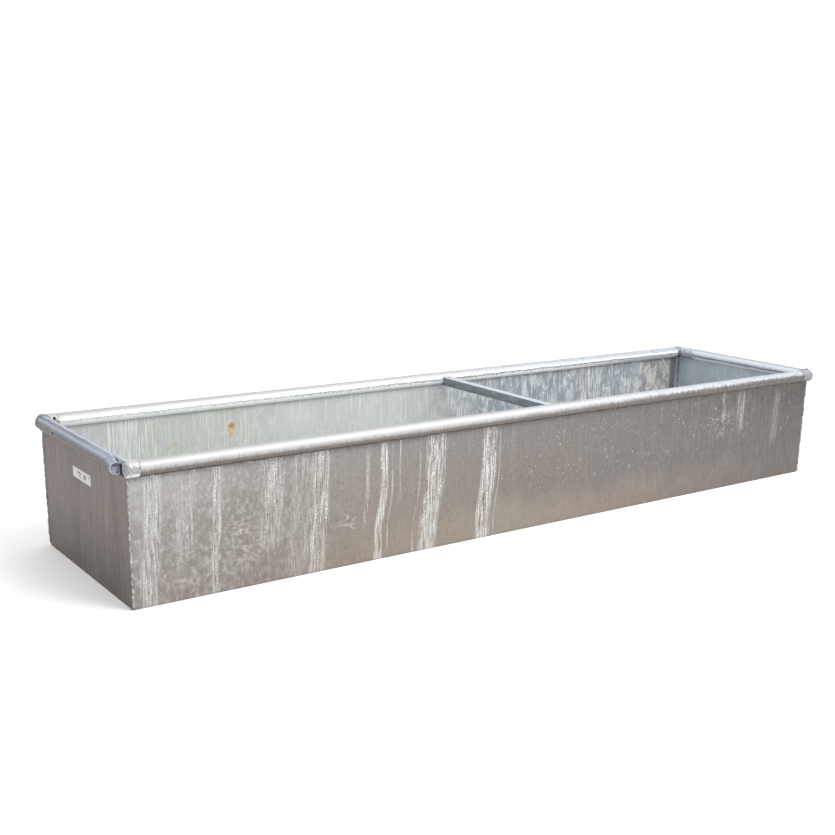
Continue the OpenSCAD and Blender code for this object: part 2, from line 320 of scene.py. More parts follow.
class Field:
    """A value that varies over a surface: a node's output that can be used in sums."""

    def __init__(self, paint, socket):
        self.paint = paint
        self.socket = socket

    def __add__(self, other):
        return self.paint.math("ADD", self, other)

    def __mul__(self, other):
        return self.paint.math("MULTIPLY", self, other)

    __radd__ = __add__
    __rmul__ = __mul__

    def __sub__(self, other):
        return self + other * -1

    def __abs__(self):
        return self.paint.math("ABSOLUTE", self)

    def ramp(self, low, high):
        """0 below low, 1 above high and smooth between them."""
        inputs = {"Value": self, "From Min": low, "From Max": high}
        return self.paint.add("MapRange", inputs, "Result", interpolation_type="SMOOTHSTEP")

    def window(self, low, high, soft):
        """1 between low and high, and 0 outside them, over a soft edge."""
        return self.ramp(low - soft, low + soft) * self.ramp(high + soft, high - soft)


class Paint:
    """One node material. Its methods add nodes and return fields."""

    def __init__(self, name, metallic, roughness):
        self.material = bpy.data.materials.new(name)
        self.material.use_nodes = True
        self.tree = self.material.node_tree
        self.shader = self.tree.nodes["Principled BSDF"]
        self.shader.inputs["Metallic"].default_value = metallic
        self.shader.inputs["Roughness"].default_value = roughness
        coords = self.tree.nodes.new("ShaderNodeTexCoord")
        self.place = Field(self, coords.outputs["Object"])
        self.x, self.y, self.z = self.split(self.place)
        self.nx, self.ny, self.nz = self.split(Field(self, coords.outputs["Normal"]))

    def split(self, vector):
        """A vector's three parts."""
        part = self.add("SeparateXYZ", {0: vector})
        return [Field(self, output) for output in part.socket.node.outputs]

    def feed(self, socket, value):
        """Links a field to an input, or sets the input's own value."""
        if isinstance(value, Field):
            self.tree.links.new(value.socket, socket)
        else:
            socket.default_value = value

    def add(self, kind, inputs, output=0, **settings):
        """Adds a node with its settings and inputs, and returns one of its outputs."""
        node = self.tree.nodes.new(f"ShaderNode{kind}")
        for setting, value in settings.items():
            setattr(node, setting, value)
        for socket, value in inputs.items():
            self.feed(node.inputs[socket], value)
        return Field(self, node.outputs[output])

    def math(self, operation, a, b=0.0, clamp=False):
        return self.add("Math", {0: a, 1: b}, operation=operation, use_clamp=clamp)

    def mix(self, amount, a, b):
        """From colour a to colour b: each is a field, or a tint as 0 to 255 on a screen."""
        a, b = (srgb(*tint) if isinstance(tint, tuple) else tint for tint in (a, b))
        return self.add("Mix", {"Factor": amount, 6: a, 7: b}, 2, data_type="RGBA")

    def layers(self, color, *rows):
        """A colour with tints laid over it in turn: how much, then its red, green and blue."""
        for amount, *tint in rows:
            color = self.mix(amount, color, tuple(tint))
        return color

    def away(self, normal, place):
        """How far the surface faces away from the trough's middle, along one axis."""
        return normal * self.math("SIGN", place)

    def scaled(self, stretch, shift):
        """Coordinates divided by the stretch, in metres, along each axis."""
        scale = [1 / s for s in stretch]
        return self.add("Mapping", {"Vector": self.place, "Scale": scale, "Location": shift})

    def noise(self, stretch, detail, rough, seed, swirl=0.0):
        """Noise with features of about the stretch's size along each axis."""
        place = self.scaled(stretch, (seed * 7.3, seed * 3.1, seed * 5.7))
        inputs = {"Vector": place, "Scale": 1.0, "Detail": detail, "Roughness": rough}
        return self.add("TexNoise", {**inputs, "Distortion": swirl})

    def stops(self, value, low, high, rows):
        """A run of (place, red, green, blue) stops over a value between low and high."""
        run = self.add("ValToRGB", {0: (value - low) * (1 / (high - low))})
        ramp = run.socket.node.color_ramp
        while len(ramp.elements) < len(rows):
            ramp.elements.new(0.5)
        for element, (place, *tint) in zip(ramp.elements, rows):
            element.position = (place - low) / (high - low)
            element.color = srgb(*tint)
        return run

    def specks(self, size, share, seed):
        """Scattered specks: one in each cell of the size along each axis, in a share of the cells."""
        place = self.scaled(size, (seed, seed, seed))
        cell = self.add("TexVoronoi", {"Vector": place, "Scale": 1.0}, "Color")
        distance = Field(self, cell.socket.node.outputs["Distance"])
        chosen = self.add("SeparateColor", {0: cell})
        return distance.ramp(0.32, 0.12) * chosen.ramp(1 - share, 1 - share + 0.05)

    def contours(self, size, width, seed, swirl):
        """Thin curling lines: where a noise crosses its middle."""
        return abs(self.noise(size, 2, 0.5, seed, swirl) - 0.5).ramp(width, width * 0.3)

    def patch(self, middle, radius, soft=0.5, along_y=False):
        """1 inside an upright ellipse across X, or across Y, and 0 outside it."""
        across = ((self.y if along_y else self.x) - middle[0]) * (1 / radius[0])
        up = (self.z - middle[1]) * (1 / radius[1])
        return self.math("SQRT", across * across + up * up).ramp(1, 1 - soft)

    def grainy(self, color, amount, seed):
        """Fine light and dark grain over a colour, at the size of zinc crystals."""
        grain = self.noise((0.0035, 0.0035, 0.0035), 3, 0.7, seed + 90)
        return self.layers(
            color,
            (grain.ramp(0.54, 0.72) * amount, 225, 225, 223),
            (grain.ramp(0.46, 0.28) * amount, 46, 42, 40),
        )

    def finish(self, color, roughness=None, height=None, depth=0.001):
        """Connects the colour, the roughness and the bump of height, in metres at its full scale."""
        self.feed(self.shader.inputs["Base Color"], color)
        if roughness is not None:
            self.feed(self.shader.inputs["Roughness"], roughness)
        if height is not None:
            bump = self.add("Bump", {"Strength": 1.0, "Distance": depth, "Height": height})
            self.feed(self.shader.inputs["Normal"], bump)
        return self.material


# Bands of zinc runs on the front wall: middle at the top, width, how far the band drifts
# towards -X on its way down, lowest and highest point, strength.
FRONT_RUNS = (
    (-1.142, 0.042, 0.010, -0.05, 0.335, 0.70),
    (-1.062, 0.050, 0.000, 0.12, 0.300, 0.35),
    (-0.980, 0.022, 0.006, -0.05, 0.325, 0.65),
    (-0.835, 0.066, 0.006, 0.10, 0.310, 0.52),
    (-0.745, 0.070, 0.010, 0.00, 0.320, 0.28),
    (-0.695, 0.044, 0.012, -0.05, 0.330, 0.64),
    (-0.560, 0.012, 0.012, 0.10, 0.300, 0.40),
    (-0.506, 0.022, 0.018, -0.05, 0.308, 1.10),
    (-0.480, 0.006, 0.014, 0.02, 0.300, 0.45),
    (-0.456, 0.004, 0.002, 0.16, 0.325, 0.75),
    (-0.342, 0.056, 0.024, -0.05, 0.312, 1.10),
    (-0.395, 0.006, 0.020, -0.05, 0.290, 0.40),
    (-0.161, 0.046, 0.018, -0.05, 0.310, 1.20),
    (-0.125, 0.005, 0.016, -0.05, 0.300, 0.50),
    (0.790, 0.012, 0.000, 0.23, 0.330, 0.45),
    (0.875, 0.034, 0.000, 0.19, 0.310, 0.40),
    (1.050, 0.030, 0.010, 0.12, 0.290, 0.25),
)


def zinc_runs(paint, wander):
    """Strength of the run bands: windows along X that drift sideways on their way down."""
    total = 0.0
    fallen = paint.z.ramp(0.20, 0.06)
    for middle, width, drift, low, high, strength in FRONT_RUNS:
        place = paint.x + fallen * drift + wander
        across = place.window(middle - width / 2, middle + width / 2, width * 0.16)
        total = total + across * paint.z.window(low, high, 0.022) * strength
    return total


# Colours of the front wall along X, near the rim, at half height and near the floor. Their fall from
# light at -X to dark at +X is painted reflection of brighter surroundings towards the left end.
FRONT_TOP = (
    (-1.20, 146, 145, 142),
    (-0.87, 124, 120, 116),
    (-0.50, 117, 112, 108),
    (-0.05, 104, 101, 100),
    (0.30, 97, 93, 89),
    (1.10, 64, 61, 61),
)
FRONT_MIDDLE = (
    (-1.20, 125, 122, 118),
    (-0.87, 116, 109, 103),
    (-0.50, 116, 109, 102),
    (-0.05, 106, 98, 92),
    (0.30, 98, 93, 90),
    (1.10, 77, 73, 70),
)
FRONT_BOTTOM = (
    (-1.20, 119, 111, 105),
    (-0.87, 118, 110, 103),
    (-0.50, 123, 114, 103),
    (-0.05, 124, 116, 106),
    (0.30, 117, 107, 99),
    (1.10, 85, 79, 75),
)


def front_tone(paint, broad):
    """Base colour of the front wall, which changes along it and with height: painted reflection lightens
    it towards -X, and a band of painted shadow lies just under the rim.
    """
    top, middle, bottom = (
        paint.stops(paint.x, -1.22, 1.22, rows) for rows in (FRONT_TOP, FRONT_MIDDLE, FRONT_BOTTOM)
    )
    height = paint.z + (broad - 0.5) * 0.12
    color = paint.mix(height.ramp(0.03, 0.13), bottom, middle)
    color = paint.mix(height.ramp(0.17, 0.29), color, top)
    # Painted shadow: a darker band along the top of the wall, just under the rim tube.
    return paint.layers(color, (paint.z.ramp(RIM_Z - 0.036, RIM_Z - 0.022) * 0.5, 84, 78, 73))


def front_marks(paint, color, small, front):
    """Swirls, scratches, flakes and dots over the front wall's colour."""
    places = paint.patch((-0.905, 0.125), (0.075, 0.075))
    places = places + paint.patch((-0.625, 0.115), (0.045, 0.045))
    places = places + paint.patch((-1.04, 0.07), (0.07, 0.07))
    strokes = paint.contours((0.11, 0.11, 0.035), 0.035, 6, 1.0)
    scratches = paint.contours((0.035, 0.035, 0.022), 0.03, 7, 0.8)
    scribble = paint.patch((0.785, 0.215), (0.10, 0.055)) * front * 0.6
    flakes = paint.specks((0.016, 0.016, 0.026), 0.13, 18) * small.ramp(0.40, 0.55)
    scattered = paint.x.window(0.05, 1.20, 0.15) * paint.z.window(0.10, 0.32, 0.05)
    dots = paint.specks((0.007, 0.007, 0.012), 0.16, 8)
    spread = paint.x.window(-0.15, 0.75, 0.15) * paint.z.window(0.13, 0.30, 0.04)
    return paint.layers(
        color,
        (strokes * places * front * 0.7, 160, 155, 149),
        (scratches * scribble, 148, 147, 144),
        (flakes * scattered * front * 0.55, 150, 149, 147),
        (dots * (spread + 0.25) * front * 0.6, 168, 167, 165),
    )


def outer_sheet_paint():
    """Outside of the folded sheet: brown-grey zinc with white runs, mottling and swirls."""
    paint = Paint("outer_sheet", 0.35, 0.5)
    fine = paint.noise((0.0040, 0.0040, 0.10), 3, 0.6, 1)
    thread = paint.noise((0.0022, 0.0022, 0.04), 3, 0.65, 2)
    broad = paint.noise((0.05, 0.05, 0.5), 3, 0.5, 3)
    cloud = paint.noise((0.03, 0.03, 0.04), 5, 0.6, 4, 1.2)
    grain = paint.noise((0.0028, 0.0028, 0.0036), 2, 0.7, 5)
    small = paint.noise((0.012, 0.012, 0.016), 4, 0.65, 9)
    front = paint.y.ramp(0.0, -0.1)
    mottled = paint.x.ramp(-0.50, -1.0) * 0.55
    runs = zinc_runs(paint, (broad - 0.5) * 0.012) * front
    strands = fine.ramp(0.42, 0.60) + thread.ramp(0.40, 0.62) - 0.20
    broken = (grain.ramp(0.38, 0.62) * 0.95 + 0.25) * 0.85
    run = paint.math("MULTIPLY", runs * strands, broken, clamp=True)
    color = paint.layers(
        front_tone(paint, broad),
        (cloud.ramp(0.47, 0.72) * mottled, 152, 154, 150),
        (small.ramp(0.50, 0.68) * mottled, 164, 164, 160),
        (small.ramp(0.47, 0.30) * 0.35, 84, 76, 70),
        (paint.x.window(0.35, 1.15, 0.25) * cloud.ramp(0.52, 0.7) * 0.3, 120, 120, 120),
        (fine.ramp(0.5, 0.72) * 0.2, 150, 148, 145),
        (thread.ramp(0.42, 0.25) * 0.25, 70, 64, 60),
        (runs * thread.ramp(0.44, 0.34) * 0.6, 78, 74, 72),
        (run, 194, 194, 191),
    )
    color = paint.grainy(front_marks(paint, color, small, front), 0.15, 1)
    bump = fine * 0.4 + cloud * 0.4 + run * 0.7 + grain * 0.15
    return paint.finish(color, cloud * 0.2 + 0.38, bump, 0.0008)


# Rust on the rear wall: middle and half size in X and Z, strength, colour
RUST_SPOTS = (
    ((-0.832, 0.231), (0.012, 0.013), 0.7, (198, 168, 130)),
    ((-0.656, 0.254), (0.021, 0.028), 0.75, (205, 178, 128)),
    ((-0.656, 0.264), (0.016, 0.016), 0.95, (176, 128, 86)),
    ((-0.658, 0.236), (0.010, 0.012), 0.6, (200, 160, 106)),
)


def rusted(paint, color):
    """A colour with the rear wall's rust spots over it."""
    ragged = (paint.noise((0.006, 0.006, 0.009), 3, 0.6, 15) - 0.5) * 1.6
    rear = paint.y.ramp(0.2, 0.26)
    for middle, radius, strength, tint in RUST_SPOTS:
        spot = (paint.patch(middle, radius, 1.0) + ragged).ramp(0.1, 0.9)
        near = paint.patch(middle, (radius[0] * 1.5, radius[1] * 1.5), 0.6)
        color = paint.mix(spot * near * rear * strength, color, tint)
    return color


def inner_sheet_paint():
    """Inside of the folded sheet: pale green-grey left of the brace, bluer right of it, with a dark strip
    of soot and painted corner shade by the right-hand end.
    """
    paint = Paint("inner_sheet", 0.3, 0.45)
    fine = paint.noise((0.0045, 0.0045, 0.10), 3, 0.65, 11)
    broad = paint.noise((0.08, 0.08, 0.4), 3, 0.5, 12)
    cloud = paint.noise((0.03, 0.03, 0.045), 5, 0.6, 13, 1.0)
    grain = paint.noise((0.004, 0.004, 0.006), 2, 0.7, 14)
    blue = (paint.x + broad * 0.4).ramp(0.10, 0.55)
    flecks = cloud.ramp(0.42, 0.58) * fine.ramp(0.42, 0.58) * blue
    drip = paint.x.window(-0.9335, -0.9310, 0.0008) * paint.y.ramp(0.1, 0.2)
    color = paint.layers(
        paint.mix(broad.ramp(0.35, 0.65), (187, 192, 190), (197, 199, 196)),
        (paint.x.window(-0.95, -0.60, 0.15) * 0.5, 184, 185, 177),
        (blue, 140, 148, 156),
        (fine.ramp(0.52, 0.66) * 0.5, 224, 226, 223),
        (fine.ramp(0.44, 0.30) * 0.35, 146, 155, 152),
        (cloud.ramp(0.52, 0.66) * 0.45, 214, 216, 210),
        (grain.ramp(0.55, 0.70) * 0.35, 226, 228, 226),
        (flecks * (grain.ramp(0.4, 0.6) + 0.4), 208, 211, 213),
        (paint.x.window(0.70, 0.80, 0.02) * fine.ramp(0.45, 0.6) * 0.8, 212, 212, 206),
        (paint.x.window(-1.04, -0.89, 0.02) * fine.ramp(0.47, 0.60) * 0.6, 228, 230, 228),
        (drip * 0.45, 104, 112, 110),
    )
    lumpy = (paint.x + cloud * 0.06).window(1.03, 1.17, 0.02)
    brown = paint.mix(cloud.ramp(0.45, 0.6), (138, 136, 132), (196, 192, 184))
    color = paint.mix(lumpy * 0.75, color, brown)
    # Partly soot and darker zinc, partly painted shade: a dark strip across the inside next to the
    # right-hand end.
    color = paint.layers(color, (paint.x.window(1.150, 1.182, 0.006) * 0.75, 76, 73, 73))
    floor_tone = paint.mix(cloud.ramp(0.40, 0.60), (146, 150, 150), (178, 181, 179))
    floor_tone = paint.layers(floor_tone, (broad.ramp(0.5, 0.7) * 0.4, 156, 151, 144))
    color = paint.mix(paint.nz.ramp(0.6, 0.9), rusted(paint, color), floor_tone)
    color = paint.grainy(color, 0.12, 2)
    return paint.finish(color, cloud * 0.2 + 0.36, fine * 0.4 + cloud * 0.5, 0.0006)


# Dark spots on the left panel: middle and half size in Y and Z. The first, over the drilled hole, is
# painted shade for the hole's dark inside.
PANEL_SPOTS = (
    (PANEL_HOLE, (0.0045, 0.0055)),
    ((0.100, 0.190), (0.0035, 0.0070)),
    ((-0.118, 0.160), (0.0035, 0.0030)),
)


def outer_panel_paint():
    """Outside of an end panel: dark purple-brown, painted darker than the walls' outside as shade on a
    face turned from the light, with faint upright streaks.
    """
    paint = Paint("outer_panel", 0.35, 0.5)
    fine = paint.noise((0.007, 0.007, 0.20), 3, 0.6, 21)
    broad = paint.noise((0.07, 0.07, 0.4), 3, 0.5, 22)
    cloud = paint.noise((0.03, 0.03, 0.05), 4, 0.6, 23)
    streak = paint.noise((0.016, 0.016, 0.22), 3, 0.55, 24)
    height = (paint.z + broad * 0.1).ramp(0.02, 0.26)
    # Painted shade: these tones are the walls' zinc painted darker. They also darken towards the bottom
    # and towards +Y.
    color = paint.layers(
        paint.mix(height, (80, 74, 71), (100, 89, 83)),
        (paint.y.ramp(-0.1, 0.25) * 0.35, 84, 76, 73),
        (broad.ramp(0.48, 0.25) * 0.7, 74, 69, 68),
        (streak.ramp(0.46, 0.30) * 0.55, 72, 66, 65),
        (streak.ramp(0.54, 0.68) * 0.45, 124, 115, 107),
        (broad.ramp(0.55, 0.75) * 0.4, 112, 101, 94),
        (cloud.ramp(0.55, 0.7) * 0.25, 126, 116, 110),
        (fine.ramp(0.5, 0.75) * 0.3, 124, 116, 112),
        (fine.ramp(0.42, 0.25) * 0.4, 62, 57, 58),
    )
    left = paint.x.ramp(0.1, -0.1)
    # The spot over the hole is painted shade; the other two are plain dark spots.
    for middle, radius in PANEL_SPOTS:
        spot = paint.patch(middle, radius, 0.4, along_y=True)
        color = paint.layers(color, (spot * left * 0.85, 24, 22, 22))
    color = paint.grainy(color, 0.07, 3)
    return paint.finish(color, None, fine * 0.5 + broad * 0.5, 0.0005)


def inner_panel_paint():
    """Inside of an end panel: bluish grey with soft clouds."""
    paint = Paint("inner_panel", 0.3, 0.45)
    fine = paint.noise((0.005, 0.005, 0.15), 3, 0.6, 31)
    cloud = paint.noise((0.05, 0.05, 0.08), 5, 0.6, 32, 1.0)
    color = paint.mix(cloud.ramp(0.35, 0.65), (162, 174, 183), (184, 193, 202))
    color = paint.layers(color, (fine.ramp(0.45, 0.75) * 0.25, 214, 221, 227))
    color = paint.grainy(color, 0.1, 4)
    return paint.finish(color, None, fine * 0.4 + cloud * 0.5, 0.0005)


def rim_top(paint, right, grain):
    """Zinc bloom on top of a long tube, bluer and mottled towards its right end."""
    return paint.layers(
        paint.mix(paint.nz.ramp(0.90, 0.99), (165, 165, 166), (150, 150, 151)),
        (right * 0.7, 156, 163, 172),
        (right * grain.ramp(0.48, 0.38) * 0.6, 116, 121, 126),
        (right * grain.ramp(0.52, 0.7) * 0.6, 190, 192, 196),
    )


def rim_brown_painted_shade(paint, drop, right, bristle):
    """Brown-grey outward side of the front tube, with painted shade darkening it further down and to the
    right, and a painted shadow on its underside.
    """
    light = paint.mix(right, (142, 139, 136), (102, 98, 96))
    dark = paint.mix(right, (104, 97, 91), (82, 77, 74))
    return paint.layers(
        paint.mix(drop.ramp(-0.05, -0.40), light, dark),
        (bristle.ramp(0.52, 0.75) * 0.5, 150, 148, 146),
        (bristle.ramp(0.45, 0.25) * 0.5, 76, 70, 66),
        # Painted shadow: near-black on the underside, where the tube meets the wall.
        (paint.nz.ramp(-0.78, -0.90) * 0.85, 42, 38, 36),
    )


def rim_pale_painted_reflection(paint, level):
    """A long tube's side towards the trough: a nearly white painted reflection of the lit inside, under a
    thin, broken dark line of painted reflection, with painted shade towards the right end.
    """
    dots = paint.noise((0.0024, 0.005, 0.005), 2, 0.6, 47)
    line = level.window(-0.22, 0.05, 0.06) * (paint.x.ramp(-1.0, 0.8) * 0.5 + 0.45)
    line = line * (dots.ramp(0.42, 0.56) + 0.45)
    shaded = paint.x.ramp(0.6, 1.0) * level.ramp(0.1, -0.2) * 0.5
    return paint.layers(paint.mix(line, (253, 254, 255), (96, 98, 101)), (shaded, 132, 138, 142))


def long_rim_paint():
    """Long rim tubes: bright zinc bloom above a ragged edge.

    Below it the front tube's outward side is brown-grey with painted shade, the rear tube's outward side
    is a plain grey of painted shade, and a tube's side towards the trough is a pale painted reflection
    under a thin dark line.
    """
    paint = Paint("long_rim", 0.35, 0.5)
    bristle = paint.noise((0.0030, 0.014, 0.014), 2, 0.6, 41)
    grain = paint.noise((0.008, 0.008, 0.008), 4, 0.6, 42)
    patch = paint.noise((0.12, 0.12, 0.12), 3, 0.5, 43)
    rear = paint.y.ramp(-0.1, 0.1)
    right = paint.x.ramp(-0.4, 1.1)
    edge = 0.02 + right * 0.40 + rear * 0.95
    level = paint.nz + (bristle * 0.7 + grain * 0.55 + patch * 0.3 - 0.78)
    drop = paint.nz - edge + grain * 0.3 - 0.15
    # Painted shade: the outward side below the ragged edge, brown-grey on the front tube and plain grey
    # on the rear one.
    shaded_side = paint.mix(rear, rim_brown_painted_shade(paint, drop, right, bristle), (112, 112, 112))
    top = rim_top(paint, right, grain)
    inward = paint.mix(level.ramp(0.10, 0.55), rim_pale_painted_reflection(paint, level), top)
    outward = paint.mix((level - edge).ramp(-0.10, 0.16), shaded_side, top)
    color = paint.mix(paint.away(paint.ny, paint.y).ramp(-0.12, 0.12), inward, outward)
    for mouth, crossed in ((LONG_CAP_MOUTH, -1), (SHORT_CAP_MOUTH, 1)):
        seam = abs(paint.x).window(mouth - 0.0016, mouth + 0.0002, 0.0006)
        here = (paint.x * paint.y * crossed).ramp(0.0, 0.1)
        color = paint.layers(color, (seam * here * 0.75, 70, 70, 70))
    color = paint.grainy(color, 0.08, 5)
    return paint.finish(color, None, grain * 0.7 + bristle * 0.3, 0.0004)


def cap_paint():
    """Pressed caps: the tubes' bloom with a grey mottle on the shoulder; below it a pale painted
    reflection on the left caps and painted shade on the right ones, a painted shadow underneath, and
    painted grey shade on the rear caps' outward side.
    """
    paint = Paint("rim_cap", 0.35, 0.5)
    grain = paint.noise((0.004, 0.004, 0.004), 3, 0.65, 44)
    patch = paint.noise((0.014, 0.014, 0.014), 3, 0.6, 45)
    level = paint.nz + patch * 0.5 - 0.25
    right = paint.x.ramp(-0.4, 1.1)
    outward = paint.away(paint.ny, paint.y).ramp(-0.05, 0.2)
    top = paint.mix(right, (168, 168, 170), (134, 135, 139))
    mottle = paint.mix(grain.ramp(0.40, 0.62), (112, 113, 115), (158, 159, 161))
    mottle = paint.layers(mottle, (right * 0.6, 100, 101, 104))
    color = paint.layers(
        paint.mix(level.window(-0.35, 0.50, 0.2) * 0.85, top, mottle),
        # Painted light and shade by the normal: pale painted reflection low on the left caps, painted
        # shade low on the right caps, painted shadow underneath, painted grey shade on the rear caps'
        # outward side.
        (level.window(-0.85, -0.40, 0.1) * right.ramp(0.6, 0.3), 206, 205, 207),
        (level.ramp(-0.35, -0.6) * right.ramp(0.5, 0.8), 74, 71, 70),
        (paint.nz.ramp(-0.85, -0.95), 48, 44, 43),
        (outward * paint.y.ramp(-0.1, 0.1) * 0.8, 116, 116, 117),
    )
    color = paint.grainy(color, 0.1, 8)
    return paint.finish(color, None, grain + patch * 0.6, 0.0005)


# Colours around an end tube's section, over the upward part of its normal. They paint light and shade: a
# painted highlight line on the outward shoulder, painted shade low down, and on the inward side a bright
# painted reflection under a dark line.
END_RIM_OUT = (
    (-0.95, 84, 79, 78),
    (0.02, 88, 85, 85),
    (0.28, 102, 104, 110),
    (0.50, 126, 131, 142),
    (0.70, 152, 160, 172),
    (0.84, 110, 117, 129),
    (0.97, 100, 106, 116),
    (0.995, 150, 156, 165),
)
LEFT_RIM_IN = (
    (0.55, 196, 202, 210),
    (0.80, 178, 184, 192),
    (0.90, 92, 97, 106),
    (0.96, 88, 93, 102),
    (0.975, 160, 166, 175),
    (0.995, 160, 166, 175),
)
RIGHT_RIM_IN = (
    (-0.60, 236, 240, 245),
    (-0.34, 228, 233, 240),
    (-0.26, 118, 126, 138),
    (-0.08, 126, 134, 146),
    (0.05, 176, 183, 194),
    (0.45, 196, 202, 210),
    (0.75, 182, 187, 193),
    (0.92, 150, 154, 158),
    (0.99, 124, 126, 130),
)


def end_rim_paint():
    """End rim tubes: blue-grey zinc with painted light and shade by the normal, a lighter painted
    highlight line along the outward shoulder, and painted shade over the vent hole.
    """
    paint = Paint("end_rim", 0.35, 0.5)
    grain = paint.noise((0.007, 0.014, 0.007), 4, 0.6, 51)
    patch = paint.noise((0.03, 0.09, 0.03), 3, 0.5, 52)
    uneven = grain * 0.30 + patch * 0.25 - 0.275
    level = paint.nz + uneven * (paint.nz.ramp(0.75, 0.5) + 0.12)
    outside, left, right = (
        paint.stops(level, -1.0, 1.0, rows) for rows in (END_RIM_OUT, LEFT_RIM_IN, RIGHT_RIM_IN)
    )
    inside = paint.mix(paint.x.ramp(-0.5, 0.5), left, right)
    # Painted shade: a near-black spot over the vent hole in the left end tube, for the hole's dark
    # inside.
    vent = paint.patch((FAR_VENT_Y, RIM_Z - 0.002), (VENT_R + 0.002, VENT_R + 0.002), 0.3, along_y=True)
    near = paint.y.ramp(-0.02, -0.16) * paint.x.ramp(0.3, -0.3)
    color = paint.layers(
        paint.mix(paint.away(paint.nx, paint.x).ramp(-0.05, 0.05), inside, outside),
        (vent * paint.x.ramp(0.1, -0.1) * 0.9, 16, 15, 15),
        (near * level.ramp(0.3, 0.7) * 0.35, 158, 167, 181),
        (paint.away(paint.ny, paint.y).ramp(0.6, 0.9), 178, 184, 196),
        (grain.ramp(0.55, 0.75) * 0.35, 170, 177, 188),
        (grain.ramp(0.42, 0.25) * 0.35, 80, 84, 92),
    )
    color = paint.grainy(color, 0.08, 6)
    return paint.finish(color, None, grain, 0.0004)


def weld_paint(name, dark, light):
    """Weld metal: rough, between two tones, lighter still on its high spots, with painted shade on faces
    that look out past the trough's ends.
    """
    paint = Paint(name, 0.4, 0.5)
    grain = paint.noise((0.003, 0.003, 0.003), 4, 0.6, 61)
    patch = paint.noise((0.012, 0.012, 0.012), 3, 0.5, 62)
    color = paint.layers(
        paint.mix(patch.ramp(0.35, 0.65), dark, light),
        # Painted shade: darker on the faces turned out towards the trough's ends.
        (paint.away(paint.nx, paint.x).ramp(0.3, 0.8) * 0.7, 62, 56, 52),
        (grain.ramp(0.5, 0.7) * 0.5, 178, 180, 179),
    )
    return paint.finish(color, None, grain, 0.0006)


def web_paint():
    """Webs that fill the swaged corners: bright on top, with painted black shade on the outward faces
    down in the gap at the cap.
    """
    paint = Paint("web_metal", 0.35, 0.5)
    grain = paint.noise((0.004, 0.004, 0.004), 3, 0.6, 63)
    patch = paint.noise((0.014, 0.014, 0.014), 3, 0.5, 64)
    outward = paint.away(paint.nx, paint.x).ramp(-0.15, 0.10)
    deep = (paint.z + patch * 0.004).ramp(RIM_Z + 0.014, RIM_Z + 0.008)
    color = paint.layers(
        paint.mix(patch.ramp(0.35, 0.65), (138, 146, 158), (172, 177, 184)),
        (grain.ramp(0.5, 0.7) * 0.4, 190, 193, 198),
        # Painted shade: black on the outward faces down in the gap between the swaged end and the cap.
        (outward * deep, 14, 13, 13),
    )
    return paint.finish(color, None, grain, 0.0004)


def plug_paint():
    """Plugs of the swaged ends: blue-grey, with painted shadow darkening them towards the top, under the
    swage's rim.
    """
    paint = Paint("plug_metal", 0.35, 0.5)
    grain = paint.noise((0.004, 0.004, 0.004), 3, 0.6, 65)
    patch = paint.noise((0.009, 0.009, 0.009), 3, 0.6, 66)
    # Painted shadow: the plug darkens towards its top, where the swage's rim shades it.
    height = paint.z + patch * 0.012
    color = paint.layers(
        paint.mix(height.ramp(RIM_Z, RIM_Z + 0.012), (150, 151, 162), (78, 84, 98)),
        (patch.ramp(0.50, 0.40) * 0.6, 72, 78, 92),
        (grain.ramp(0.5, 0.7) * 0.6, 178, 182, 192),
    )
    return paint.finish(color, None, grain, 0.0006)


def brace_paint():
    """Angle-iron brace: blue-grey zinc with soft streaks along it, darker lower down its web, with a
    painted highlight on its upward faces.
    """
    paint = Paint("brace_zinc", 0.40, 0.45)
    fine = paint.noise((0.006, 0.05, 0.006), 4, 0.6, 71)
    color = paint.layers(
        paint.mix(fine.ramp(0.35, 0.68), (110, 122, 127), (140, 151, 155)),
        (paint.z.ramp(RIM_Z - 0.008, RIM_Z - 0.016) * 0.4, 94, 104, 110),
        # Painted highlight: lighter on the faces that look up.
        (paint.nz.ramp(0.3, 0.7), 164, 172, 182),
        (fine.ramp(0.6, 0.75) * 0.4, 190, 197, 204),
    )
    color = paint.grainy(color, 0.1, 7)
    return paint.finish(color, None, fine, 0.0006)


# Blocks of ink on the label: from and to along Y and Z, measured from its lowest corner
LABEL_BLOCKS = (
    (0.004, 0.116, 0.0236, 0.0242),
    (0.004, 0.116, 0.0028, 0.0034),
    (0.0036, 0.0042, 0.0028, 0.0242),
    (0.1158, 0.1164, 0.0028, 0.0242),
    (0.030, 0.048, 0.008, 0.019),
    (0.062, 0.090, 0.014, 0.020),
    (0.066, 0.082, 0.007, 0.011),
    (0.008, 0.016, 0.016, 0.021),
)


def label_paint(corner):
    """Printed film: a pale face with a thin border and a few plain blocks, not lettering."""
    paint = Paint("label_film", 0.0, 0.45)
    grain = paint.noise((0.004, 0.004, 0.004), 3, 0.6, 81)
    worn = paint.noise((0.006, 0.006, 0.003), 3, 0.6, 82)
    color = paint.mix(grain, (176, 173, 169), (196, 194, 190))
    for left, right, base, head in LABEL_BLOCKS:
        across = paint.y.window(corner.y + left, corner.y + right, 0.0006)
        up = paint.z.window(corner.z + base, corner.z + head, 0.0006)
        color = paint.layers(color, (across * up * 0.8, 58, 54, 52))
    color = paint.layers(color, (worn.ramp(0.5, 0.7) * 0.5, 128, 122, 118))
    return paint.finish(color, None, grain, 0.0001)


# ---- Sheet metal ----


